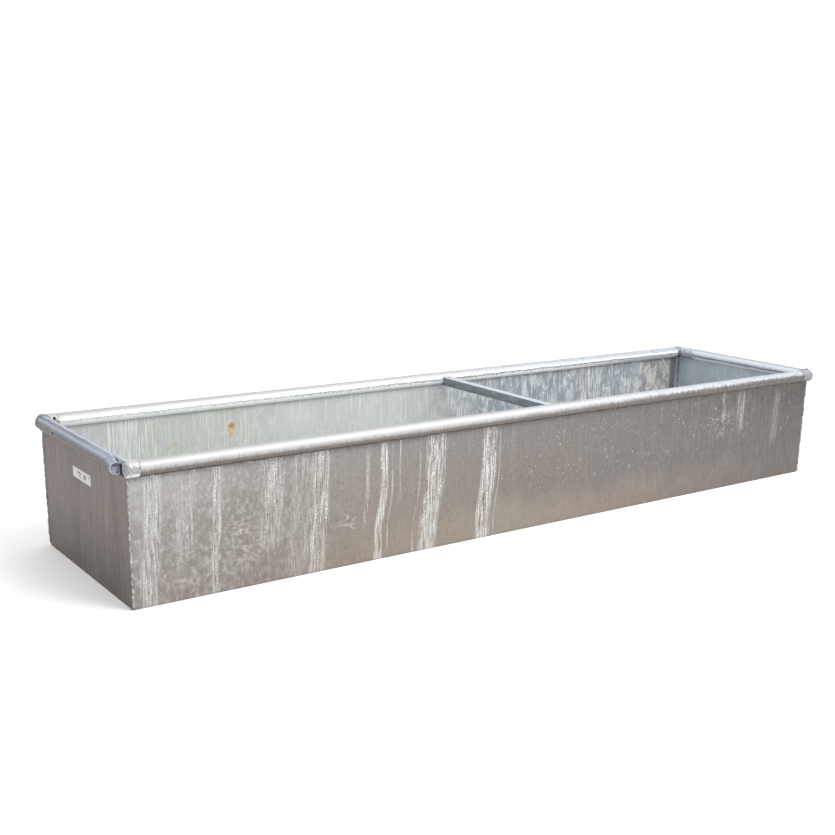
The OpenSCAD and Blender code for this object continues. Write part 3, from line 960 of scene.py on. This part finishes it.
def fold_line(wall_points=50, bend_points=7, floor_points=25):
    """Middle line of the folded sheet in Y and Z, front top to rear top, with its normals."""
    top = RIM_Z - TUBE_R + SHEET / 2
    mid_r = BEND_R - SHEET / 2
    centre_y = wall_y(BEND_R) - mid_r
    wall_z = np.linspace(top, BEND_R, wall_points)
    angles = np.linspace(0, math.pi / 2, bend_points)[1:-1]
    floor_y = np.linspace(-centre_y, centre_y, floor_points)
    front = np.column_stack([-wall_y(wall_z), wall_z])
    bend = np.column_stack([-centre_y - mid_r * np.cos(angles), BEND_R - mid_r * np.sin(angles)])
    floor = np.column_stack([floor_y, np.full(floor_points, SHEET / 2)])
    half = np.concatenate([front, bend])
    line = np.concatenate([half, floor, half[::-1] * [-1, 1]])
    tangent = unit(np.gradient(line, axis=0))
    return line, np.column_stack([-tangent[:, 1], tangent[:, 0]]) * -1


def folded_sheet():
    """Floor and long walls: one folded sheet with a slight wave, as two skins and their edges."""
    line, outward = fold_line()
    columns = 481
    along = np.linspace(-1, 1, columns)
    length = end_x(line[:, 1]) - SHEET / 2
    x = along[:, None] * length[None, :]
    place = spots(x, line[:, 0], line[:, 1])
    height = line[:, 1] / (RIM_Z - TUBE_R)
    calm = np.sin(np.clip(height, 0, 1) * math.pi) * (1 - np.abs(along[:, None]) ** 12)
    wave = 0.0007 * lumps(place, 0.34, 5) + 0.00025 * lumps(place, 0.09, 6, (1, 1, 3))
    ridges = 0.00012 * lumps(place, 0.012, 7, (1, 1, 12))
    floor_wave = 0.0008 * np.abs(lumps(place, 0.3, 8)) * (np.abs(outward[:, 1]) > 0.99)
    floor_wave = floor_wave * smooth_step(RIM_Y - np.abs(place[..., 1]), 0.02, 0.08)
    shift = wave * calm
    normal = np.concatenate([np.zeros((len(line), 1)), outward], axis=1)
    outer = place + normal * (SHEET / 2 + shift + ridges * calm - floor_wave)[..., None]
    inner = place + normal * (-SHEET / 2 + shift - floor_wave - ridges * calm)[..., None]
    points = np.concatenate([outer, inner[:, ::-1]], axis=1)
    rows, cols = points.shape[:2]
    faces = grid_faces(rows, cols, False, True, False)
    side = len(line)
    column = np.tile(np.arange(cols), rows - 1)
    parts = ((column >= side) & (column < cols - 1)).astype(int)
    ends = []
    for row in (0, rows - 1):
        first = row * cols
        for k in range(side - 1):
            ends.append([first + k, first + k + 1, first + cols - 2 - k, first + cols - 1 - k])
    faces = np.concatenate([faces, np.array(ends)])
    parts = np.concatenate([parts, np.zeros(len(ends), int)])
    paints = [OUTER_SHEET, INNER_SHEET]
    new_piece("folded_sheet", "trough_body", points, faces, paints, parts)


def panel_wave(place, seed):
    """How far an end panel's skin stands out from its plane: none at its edges."""
    up = np.clip(place[..., 2] / (RIM_Z - TUBE_R), 0, 1)
    across = np.clip(np.abs(place[..., 1]) / RIM_Y, 0, 1)
    calm = np.sin(up * math.pi) * (1 - across**8)
    lo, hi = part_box("end_label")
    off_label = smooth_step(np.abs(place[..., 1] - (lo.y + hi.y) / 2), 0.06, 0.12)
    off_label = np.maximum(off_label, smooth_step(np.abs(place[..., 2] - (lo.z + hi.z) / 2), 0.015, 0.05))
    wave = 0.0012 * lumps(place, 0.4, seed) + 0.0003 * lumps(place, 0.1, seed + 1)
    return np.minimum(wave, 0.0015) * calm * off_label


def end_panel(name, node, side, seed):
    """One end panel: two skins with a slight wave, and the edges between them."""
    rows, cols = 56, 96
    z = np.linspace(0, RIM_Z - TUBE_R + SHEET / 2, rows)[:, None]
    along = np.linspace(-1, 1, cols)[None, :]
    corner = np.clip(BEND_R - SHEET / 2 - z, 0, None)
    round_in = (BEND_R - SHEET / 2) - np.sqrt(np.clip((BEND_R - SHEET / 2) ** 2 - corner**2, 0, None))
    y = along * (wall_y(z) - round_in)
    place = spots(side * end_x(z), y, z)
    wave = panel_wave(place, seed)
    normal = np.array([side, 0, 0])
    outer = place + normal * (SHEET / 2 + wave)[..., None]
    inner = place + normal * (-SHEET / 2 + wave)[..., None]
    count = rows * cols
    front = grid_faces(rows, cols, False, False, side < 0)
    back = grid_faces(rows, cols, False, False, side > 0) + count
    rim = list(range(cols)) + [i * cols + cols - 1 for i in range(1, rows)]
    rim += [(rows - 1) * cols + i for i in range(cols - 2, -1, -1)]
    rim += [i * cols for i in range(rows - 2, 0, -1)]
    edge = edge_faces(np.array(rim), count)
    faces = np.concatenate([front, back, edge])
    parts = np.concatenate([np.zeros(len(front)), np.ones(len(back)), np.zeros(len(edge))])
    points = np.concatenate([outer.reshape(-1, 3), inner.reshape(-1, 3)])
    paints = [OUTER_PANEL, INNER_PANEL]
    return new_piece(name, node, points, faces, paints, parts)


def end_panels():
    """Both end panels, with a small hole through the left one."""
    left = end_panel("left_panel_sheet", "left_end_panel", -1, 101)
    drill(left, (-RIM_X - PANEL_DRILL, *PANEL_HOLE), (1, 0, 0), PANEL_HOLE_R, 2 * PANEL_DRILL)
    end_panel("right_panel_sheet", "right_end_panel", 1, 103)


# ---- Rim ----


def long_rim(name, node, half_turn, seed):
    """A long rim tube: hollow, with soft dents."""
    left, right = FRONT_LO.x, FRONT_HI.x
    outer = np.linspace(left, right, 601)
    profile = [(x - left, TUBE_R) for x in outer]
    profile += [(right - left, TUBE_R - TUBE_WALL), (0.0, TUBE_R - TUBE_WALL)]
    path, axes = straight((left, -RIM_Y, RIM_Z), (1, 0, 0))
    points = lathe(np.array(profile), path, axes, 48)
    dent = dents(points, seed, LONG_TUBE_DENTS)
    dent[:, len(outer):] = 0
    away = unit((points - [0, -RIM_Y, RIM_Z]) * [0, 1, 1])
    return rim_piece(name, node, points - away * dent[..., None], half_turn, LONG_RIM)


def cap_vent(piece, half_turn):
    """Drills the vent hole at a long cap's mouth, through the cap or the tube under it."""
    side = -1 if half_turn else 1
    middle = (side * (RIM_X - CAP_VENT_IN), -side * RIM_Y, RIM_Z)
    drill(piece, middle, (0, side * math.cos(CAP_VENT_TILT), math.sin(CAP_VENT_TILT)), VENT_R, 2 * TUBE_R)


def long_rims():
    """Both long tubes, each with the vent hole under its long cap."""
    for place, half_turn, seed in (("front", False, 111), ("rear", True, 113)):
        cap_vent(long_rim(f"{place}_long_rim", f"{place}_rim_tube", half_turn, seed), half_turn)


def end_rim(name, node, half_turn, seed):
    """An end rim tube: hollow, from its swaged end to the joint with the long tube's cap."""
    start = SWAGE_START_Y
    rings, sides = 121, 48
    angles = np.arange(sides) * TAU / sides
    sunk = 0.0004
    bore_r = TUBE_R - TUBE_WALL
    cope = RIM_Y - np.sqrt(CAP_R**2 - (TUBE_R * np.cos(angles)) ** 2) + sunk
    inner_cope = RIM_Y - np.sqrt(CAP_R**2 - (bore_r * np.cos(angles)) ** 2) + sunk
    share = np.linspace(0, 1, rings)
    y = start + share[None, :] * (cope - start)[:, None]
    ring = np.stack([np.sin(angles), np.cos(angles)], -1)
    points = np.empty((sides, rings + 2, 3))
    points[:, :rings, 0] = -RIM_X + TUBE_R * ring[:, :1]
    points[:, :rings, 1] = y
    points[:, :rings, 2] = RIM_Z + TUBE_R * ring[:, 1:]
    for k, end in ((rings, inner_cope), (rings + 1, start)):
        points[:, k, 0] = -RIM_X + bore_r * ring[:, 0]
        points[:, k, 1] = end
        points[:, k, 2] = RIM_Z + bore_r * ring[:, 1]
    away = np.stack([ring[:, 0], np.zeros(sides), ring[:, 1]], -1)[:, None, :]
    dent = dents(points, seed, END_TUBE_DENTS)
    dent[:, rings:] = 0
    dent[:, 0] = 0
    return rim_piece(name, node, points - away * dent[..., None], half_turn, END_RIM)


def end_rims():
    """Both end tubes, with a vent hole in the left one."""
    left = end_rim("left_end_rim", "left_rim_tube", False, 121)
    dip = (-math.cos(FAR_VENT_DIP), 0, -math.sin(FAR_VENT_DIP))
    drill(left, (-RIM_X, FAR_VENT_Y, RIM_Z), dip, VENT_R, CAP_R)
    end_rim("right_end_rim", "right_rim_tube", True, 123)


def cap_profile(length):
    """Section of a pressed cap as (step, radius): outside from its face, then back inside."""
    angles = np.linspace(math.pi / 2, 0, 9)
    bevel = 0.0005
    inner_r = CAP_EDGE_R - CAP_T
    flat = np.linspace(0, CAP_R - CAP_EDGE_R, 6)[:-1]
    outer = [(0.0, r) for r in flat]
    outer += [(CAP_EDGE_R * (1 - math.sin(a)), CAP_R - CAP_EDGE_R * (1 - math.cos(a))) for a in angles]
    steps = np.linspace(CAP_EDGE_R, length - 0.0004, max(4, int(length / 0.0025)))[1:]
    outer += [(s, CAP_R) for s in steps]
    outer += [(length, CAP_R - bevel), (length, TUBE_R)]
    inner = [(CAP_EDGE_R, TUBE_R)]
    inner += [
        (CAP_EDGE_R - inner_r * math.sin(a), TUBE_R - inner_r * (1 - math.cos(a))) for a in angles[::-1]
    ]
    return np.array(outer + inner + [(CAP_T, 0.0)])


def rim_cap(name, node, at_right, half_turn, seed):
    """A pressed cap slipped over a long tube's end, with soft dents."""
    lo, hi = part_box("front_rim_right_cap" if at_right else "front_rim_left_cap")
    length = hi.x - lo.x
    start = (hi.x if at_right else lo.x, -RIM_Y, RIM_Z)
    path, axes = straight(start, (-1 if at_right else 1, 0, 0))
    points = lathe(cap_profile(length), path, axes, 64)
    middle = np.array([start[0], -RIM_Y, RIM_Z])
    pull = dents(points, seed, CAP_DENTS)
    pull *= smooth_step(np.abs(points[..., 0] - start[0]), 0.0, CAP_EDGE_R) * 0.7 + 0.3
    toward = middle + np.array([-0.015 if at_right else 0.015, 0, 0]) - points
    points = points + unit(toward) * pull[..., None]
    return rim_piece(name, node, points, half_turn, RIM_CAP, closed=False)


def rim_caps():
    """The four caps. A cap at the right, before its half turn, is a long one with a vent hole."""
    for wall, end, at_right, half_turn, seed in (
        ("front", "left", False, False, 131),
        ("front", "right", True, False, 133),
        ("rear", "left", True, True, 135),
        ("rear", "right", False, True, 137),
    ):
        cap = rim_cap(f"{wall}_{end}_cap", f"{wall}_rim_{end}_cap", at_right, half_turn, seed)
        if at_right:
            cap_vent(cap, half_turn)


def swage_path():
    """Axis of a swaged end: straight on from the end tube, then bent out to its face."""
    start = np.array([-RIM_X, SWAGE_START_Y, RIM_Z])
    span = np.array(LEFT_FACE) - start
    length = np.linalg.norm(span)

    def path(s):
        t = np.clip(s / length, 0, 1)
        bent = t - SWAGE_BEND * np.sin(t * math.pi) * (1 - t)
        side = np.array([span[0], 0, span[2]])
        return start + side * bent[:, None] + np.array([0, span[1], 0]) * t[:, None]

    def axes(s):
        step = 1e-4
        tangent = unit(path(s + step) - path(s - step))
        tangent[s >= length - step] = unit(span)
        u = unit(np.cross(tangent, [0.0, 0.0, 1.0]))
        return np.cross(u, tangent), u

    return path, axes, length


def swaged_end(name, node, half_turn, seed):
    """The drawn-down end of an end tube, open at its face."""
    path, axes, length = swage_path()
    steps = np.linspace(0, length, 41)
    drawn = (TUBE_R - SWAGE_R) * smooth_step(steps / length, 0.05, 0.85)
    radius = TUBE_R - drawn
    radius[-1] -= SWAGE_BEVEL
    bore = TUBE_R - TUBE_WALL - drawn
    outside = np.column_stack([steps, radius])
    inside = np.column_stack([steps, bore])[::-1]
    profile = np.concatenate([outside, inside])
    points = lathe(profile, path, axes, 56)
    centre = path(profile[:, 0])
    calm = np.sin(np.clip(profile[:, 0] / length, 0, 1) * math.pi) ** 0.5
    dent = dents(points, seed, SWAGE_DENTS) * calm
    dent[:, len(steps):] = 0
    points = points - unit(points - centre[None]) * dent[..., None]
    return rim_piece(name, node, points, half_turn, END_RIM)


def end_plug(name, node, half_turn, seed):
    """The lumpy disc that closes a swaged end, set in below its face."""
    path, axes, length = swage_path()
    deep = length - PLUG_DEPTH
    radii = np.linspace(0, SWAGE_R - TUBE_WALL + PLUG_OVERLAP, 10)
    profile = [(deep, r) for r in radii] + [(deep - PLUG_T, r) for r in radii[::-1]]
    points = lathe(np.array(profile), path, axes, 48)
    lump = 0.0007 * lumps(points, 0.009, seed)
    lump[:, len(radii):] = 0
    face = unit(np.array(LEFT_FACE) - path(np.array([0.0]))[0])
    rim_piece(name, node, points + face * lump[..., None], half_turn, PLUG, closed=False)


def swages():
    """Both swaged ends, each with its vent hole and plug."""
    for place, half_turn, seed in (("left", False, 141), ("right", True, 143)):
        swage = swaged_end(f"{place}_swage", f"{place}_rim_swaged_end", half_turn, seed)
        middle = swage_path()[0](np.array([SWAGE_VENT_STEP]))[0]
        drill(swage, turned(middle, half_turn), turned(SWAGE_VENT_TURN, half_turn), VENT_R, CAP_R)
        end_plug(f"{place}_plug", f"{place}_rim_end_plug", half_turn, seed + 4)


# ---- Brace ----


def angle_outline():
    """Outline of the angle iron in X and Z: web down, flange towards +X, rounded as rolled."""
    lo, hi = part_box("cross_brace")
    toe = 0.0015
    fillet = 0.003
    quarter = np.linspace(0, math.pi / 2, 5)
    heel = 0.0006
    outline = [(lo.x + heel, hi.z), (lo.x, hi.z - heel), (lo.x, lo.z)]
    heel_x, heel_z = lo.x + BRACE_T, hi.z - BRACE_T
    outline += [(heel_x - toe + toe * math.sin(a), lo.z + toe - toe * math.cos(a)) for a in quarter]
    outline += [
        (heel_x + fillet * (1 - math.cos(a)), heel_z - fillet * (1 - math.sin(a))) for a in quarter
    ]
    outline += [(hi.x - toe + toe * math.sin(a), heel_z + toe - toe * math.cos(a)) for a in quarter]
    outline += [(hi.x, hi.z - 0.0003), (hi.x - 0.0003, hi.z)]
    return np.array(outline)


def brace():
    """The angle iron across the mouth, coped to both long tubes."""
    outline = angle_outline()
    edges = []
    for p, q in zip(outline, np.roll(outline, -1, axis=0)):
        cuts = max(1, int(np.linalg.norm(q - p) / 0.004))
        edges += [p + (q - p) * k / cuts for k in range(cuts)]
    outline = np.array(edges)
    drop = np.clip(outline[:, 1] - RIM_Z, -TUBE_R, TUBE_R)
    sunk = 0.0005
    reach = RIM_Y - np.sqrt(TUBE_R**2 - drop**2) + sunk
    reach = np.minimum(reach, wall_y(RIM_Z - TUBE_R) - SHEET / 2)
    rings = 141
    y = np.linspace(-1, 1, rings)[:, None] * reach[None, :]
    points = spots(outline[:, 0], y, outline[:, 1])
    lo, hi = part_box("cross_brace")
    bow = 0.0003 * lumps(points, 0.2, 91) + 0.00015 * lumps(points, 0.02, 92)
    points[..., 0] += bow
    points[..., 2] += 0.5 * bow
    points = np.clip(points, np.array(lo), np.array(hi))
    faces = sleeve_faces(rings, len(outline))
    new_piece("angle_brace", "cross_brace", points, faces, [BRACE])


# ---- Welds ----


def bead(name, node, path, radius, seed, paint, pitch, sides, lump=0.22):
    """A weld bead along a path of points: overlapping ripples with uneven lumps."""
    path = np.array(path, float)
    gaps = np.linalg.norm(np.diff(path, axis=0), axis=1)
    run = np.concatenate([[0], np.cumsum(gaps)])
    count = max(8, int(run[-1] / (pitch / 3)))
    steps = np.linspace(0, run[-1], count)
    line = np.column_stack([np.interp(steps, run, path[:, k]) for k in range(3)])
    tangent = unit(np.gradient(line, axis=0))
    helper = np.array([0.31, 0.47, 0.83])
    u = unit(np.cross(tangent, helper))
    v = np.cross(tangent, u)
    wander = steps + 0.4 * pitch * np.sin(steps / pitch * 0.37 + seed)
    ripple = 1 - 0.14 * np.abs(np.sin(wander * math.pi / pitch))
    taper = np.sqrt(np.clip(np.minimum(steps, run[-1] - steps) / (2 * radius), 0.05, 1))
    angles = np.arange(sides) * TAU / sides
    ring = np.cos(angles)[None, :, None] * u[:, None] + np.sin(angles)[None, :, None] * v[:, None]
    points = line[:, None] + ring * radius
    field = 1 + lump * lumps(points, 5 * radius, seed) + 0.5 * lump * lumps(points, 2 * radius, seed + 1)
    size = radius * (ripple * taper)[:, None] * np.clip(field, 0.5, 1.35)
    points = line[:, None] + ring * size[..., None]
    new_piece(name, node, points, sleeve_faces(count, sides), [paint])


def cast_weld(name, node, voxel, seed, paint):
    """A weld of a free form: the CAD solid's own shape, rounded and made lumpy."""
    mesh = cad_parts[node].data.copy()
    mesh.materials.clear()
    piece = bpy.data.objects.new(name, mesh)
    bpy.context.scene.collection.objects.link(piece)
    remesh = piece.modifiers.new("remesh", "REMESH")
    remesh.mode = "VOXEL"
    remesh.voxel_size = voxel
    smooth = piece.modifiers.new("smooth", "SMOOTH")
    smooth.factor = 0.5
    smooth.iterations = 6
    bpy.context.view_layer.update()
    apply_modifiers(piece)
    places = vectors(piece.data.vertices, "co")
    normals = vectors(piece.data.vertex_normals, "vector")
    lump = WELD_SWELL + 0.0004 * lumps(places, 0.012, seed) + 0.0001 * lumps(places, 0.006, seed + 1)
    places = np.clip(places + normals * lump[:, None], CAD_LO, CAD_HI)
    piece.data.vertices.foreach_set("co", places.astype(np.float32).ravel())
    piece.data.materials.append(paint)
    tidy_mesh(piece.data, 60)
    stand_for(piece, node)


def corner_beads():
    """Beads down the four outside corners."""
    z = np.linspace(0.0035, RIM_Z - CAP_R - 0.002, 80)
    offset = SHEET / 4
    corners = (("front_left", -1, -1), ("front_right", 1, -1), ("rear_left", -1, 1), ("rear_right", 1, 1))
    for row, (place, end, side) in enumerate(corners):
        path = spots(end * (end_x(z) + offset), side * (wall_y(z) + offset), z)
        node = f"{place}_corner_weld"
        bead(f"{place}_corner_bead", node, path, BEAD_R, 200 + row, CORNER, 0.007, sides=14, lump=0.3)


def inner_beads():
    """Beads inside, down one corner, along the floor and up the other."""
    inset = SHEET / 2 + 0.001
    low, floor_z = 0.008, SHEET + 0.001
    low_y = wall_y(low) - inset
    radius = low - floor_z
    z = np.linspace(RIM_Z - CAP_R - 0.004, low, 60)
    turn = np.linspace(0, math.pi / 2, 7)[1:-1]
    bend_y = -low_y + radius * (1 - np.cos(turn))
    across = np.linspace(-low_y + radius, low_y - radius, 60)
    for name, end in (("left", -1), ("right", 1)):
        down = spots(end * (end_x(z) - inset), -(wall_y(z) - inset), z)
        bend = spots(end * (end_x(low) - inset), bend_y, low - radius * np.sin(turn))
        floor = spots(end * (end_x(floor_z) - inset), across, floor_z)
        half = np.concatenate([down, bend])
        path = np.concatenate([half, floor, half[::-1] * [1, -1, 1]])
        bead(f"{name}_inner_bead", f"{name}_inner_weld", path, BEAD_R, 220 + end, WELD, 0.006, sides=10)


def seam_beads():
    """Beads under the rim tubes, along the top of the walls and panels."""
    z = RIM_Z - TUBE_R
    out, down = 0.0006, 0.0004
    seams = []
    for side, place in ((-1, "front"), (1, "rear")):
        node = f"{place}_wall_rim_weld"
        lo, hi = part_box(node)
        y = side * (wall_y(z) + SHEET / 2 + out)
        seams.append((place, node, spots(np.linspace(lo.x, hi.x, 60), y, z - down), 240 + side))
    for end, place in ((-1, "left"), (1, "right")):
        node = f"{place}_panel_rim_weld"
        lo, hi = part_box(node)
        x = end * (end_x(z) + SHEET / 2 + out)
        seams.append((place, node, spots(x, np.linspace(lo.y, hi.y, 40), z - down), 250 + end))
    for place, node, path, seed in seams:
        bead(f"{place}_seam_bead", node, path, SEAM_BEAD_R, seed, SEAM_SHADOWED, 0.009, sides=8, lump=0.35)


def cast_welds():
    """The webs in the swaged corners, and the beads around coped joints and the brace's ends."""
    cast_weld("front_left_web", "front_left_rim_web", WEB_VOXEL, 301, WEB)
    cast_weld("rear_right_web", "rear_right_rim_web", WEB_VOXEL, 303, WEB)
    cast_weld("rear_left_saddle_bead", "rear_left_rim_weld", WELD_VOXEL, 305, WELD)
    cast_weld("front_right_saddle_bead", "front_right_rim_weld", WELD_VOXEL, 307, WELD)
    cast_weld("brace_front_bead", "brace_front_weld", WELD_VOXEL, 309, BRACE_BEAD)
    cast_weld("brace_rear_bead", "brace_rear_weld", WELD_VOXEL, 311, BRACE_BEAD)


# ---- Label ----


def label():
    """The label's own plate, with round corners."""
    lo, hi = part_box("end_label")
    width, height, corner = hi.y - lo.y, LABEL_H, LABEL_CORNER_R
    quarter = np.linspace(0, math.pi / 2, 6)
    outline = []
    for sy, sz, first in ((1, 1, 0), (-1, 1, 1), (-1, -1, 2), (1, -1, 3)):
        for a in quarter + first * math.pi / 2:
            y = sy * (width / 2 - corner) + corner * math.cos(a)
            z = sz * (height / 2 - corner) + corner * math.sin(a)
            outline.append((y, z))
    outline = np.array(outline)
    mid_y, mid_z = (lo.y + hi.y) / 2, (lo.z + hi.z) / 2
    z = mid_z + outline[:, 1]
    y = mid_y + outline[:, 0]
    base = -end_x(z) - SHEET / 2 + 0.0002
    front = base - LABEL_T
    points = np.concatenate([np.column_stack([front, y, z]), np.column_stack([base, y, z])])
    count = len(outline)
    faces = edge_faces(np.arange(count), count).tolist()
    faces += [list(range(count)), list(range(count, 2 * count))[::-1]]
    new_piece("label_plate", "end_label", points, faces, [label_paint(lo)])


# ---- Studio ----


def studio():
    """Pale floor, even surroundings and one soft lamp."""
    floor = bpy.data.meshes.new("floor")
    floor.from_pydata([(-30, -30, 0), (30, -30, 0), (30, 30, 0), (-30, 30, 0)], [], [(0, 1, 2, 3)])
    ground = bpy.data.objects.new("floor", floor)
    bpy.context.scene.collection.objects.link(ground)
    paint = Paint("pale_floor", 0.0, 0.9)
    floor.materials.append(paint.finish((0.86, 0.855, 0.85, 1)))

    bpy.context.scene.view_settings.view_transform = "Standard"
    world = bpy.data.worlds.new("studio")
    bpy.context.scene.world = world
    world.use_nodes = True
    back = world.node_tree.nodes["Background"]
    back.inputs["Color"].default_value = (1, 1, 1, 1)
    back.inputs["Strength"].default_value = 1.25

    key = bpy.data.lights.new("key", "AREA")
    key.shape = "RECTANGLE"
    key.size, key.size_y = 3.0, 2.0
    key.energy = 160
    lamp = bpy.data.objects.new("key", key)
    bpy.context.scene.collection.objects.link(lamp)
    lamp.location = (1.0, -2.2, 3.2)
    aim = Vector((0, 0, 0.2)) - lamp.location
    lamp.rotation_euler = aim.to_track_quat("-Z", "Y").to_euler()


def camera():
    """The camera: its place, direction and roll were solved from the trough's own edges."""
    lens = bpy.data.cameras.new("camera")
    lens.lens = 51.6
    lens.sensor_width = 36.0
    view = bpy.data.objects.new("camera", lens)
    bpy.context.scene.collection.objects.link(view)
    view.location = (-2.1707, -2.7571, 1.0269)
    azimuth, pitch, roll = 0.6200, 0.2141, 0.0192
    level = math.cos(pitch)
    forward = Vector((math.sin(azimuth) * level, math.cos(azimuth) * level, -math.sin(pitch)))
    view.rotation_mode = "QUATERNION"
    view.rotation_quaternion = forward.to_track_quat("-Z", "Y") @ Quaternion((0, 0, 1), roll)
    bpy.context.scene.camera = view


# ---- Build ----

camera()
studio()

OUTER_SHEET = outer_sheet_paint()
INNER_SHEET = inner_sheet_paint()
OUTER_PANEL = outer_panel_paint()
INNER_PANEL = inner_panel_paint()
LONG_RIM = long_rim_paint()
RIM_CAP = cap_paint()
PLUG = plug_paint()
WEB = web_paint()
END_RIM = end_rim_paint()
WELD = weld_paint("weld_metal", (92, 88, 85), (132, 131, 130))
# Seam beads: dark weld, painted darker still as the shadow under the rim tubes.
SEAM_SHADOWED = weld_paint("seam_metal", (54, 50, 48), (92, 88, 86))
CORNER = weld_paint("corner_metal", (110, 108, 105), (172, 171, 168))
BRACE_BEAD = weld_paint("brace_bead_metal", (158, 161, 164), (196, 198, 200))
BRACE = brace_paint()

folded_sheet()
end_panels()
long_rims()
end_rims()
rim_caps()
swages()
brace()
corner_beads()
inner_beads()
seam_beads()
cast_welds()
label()
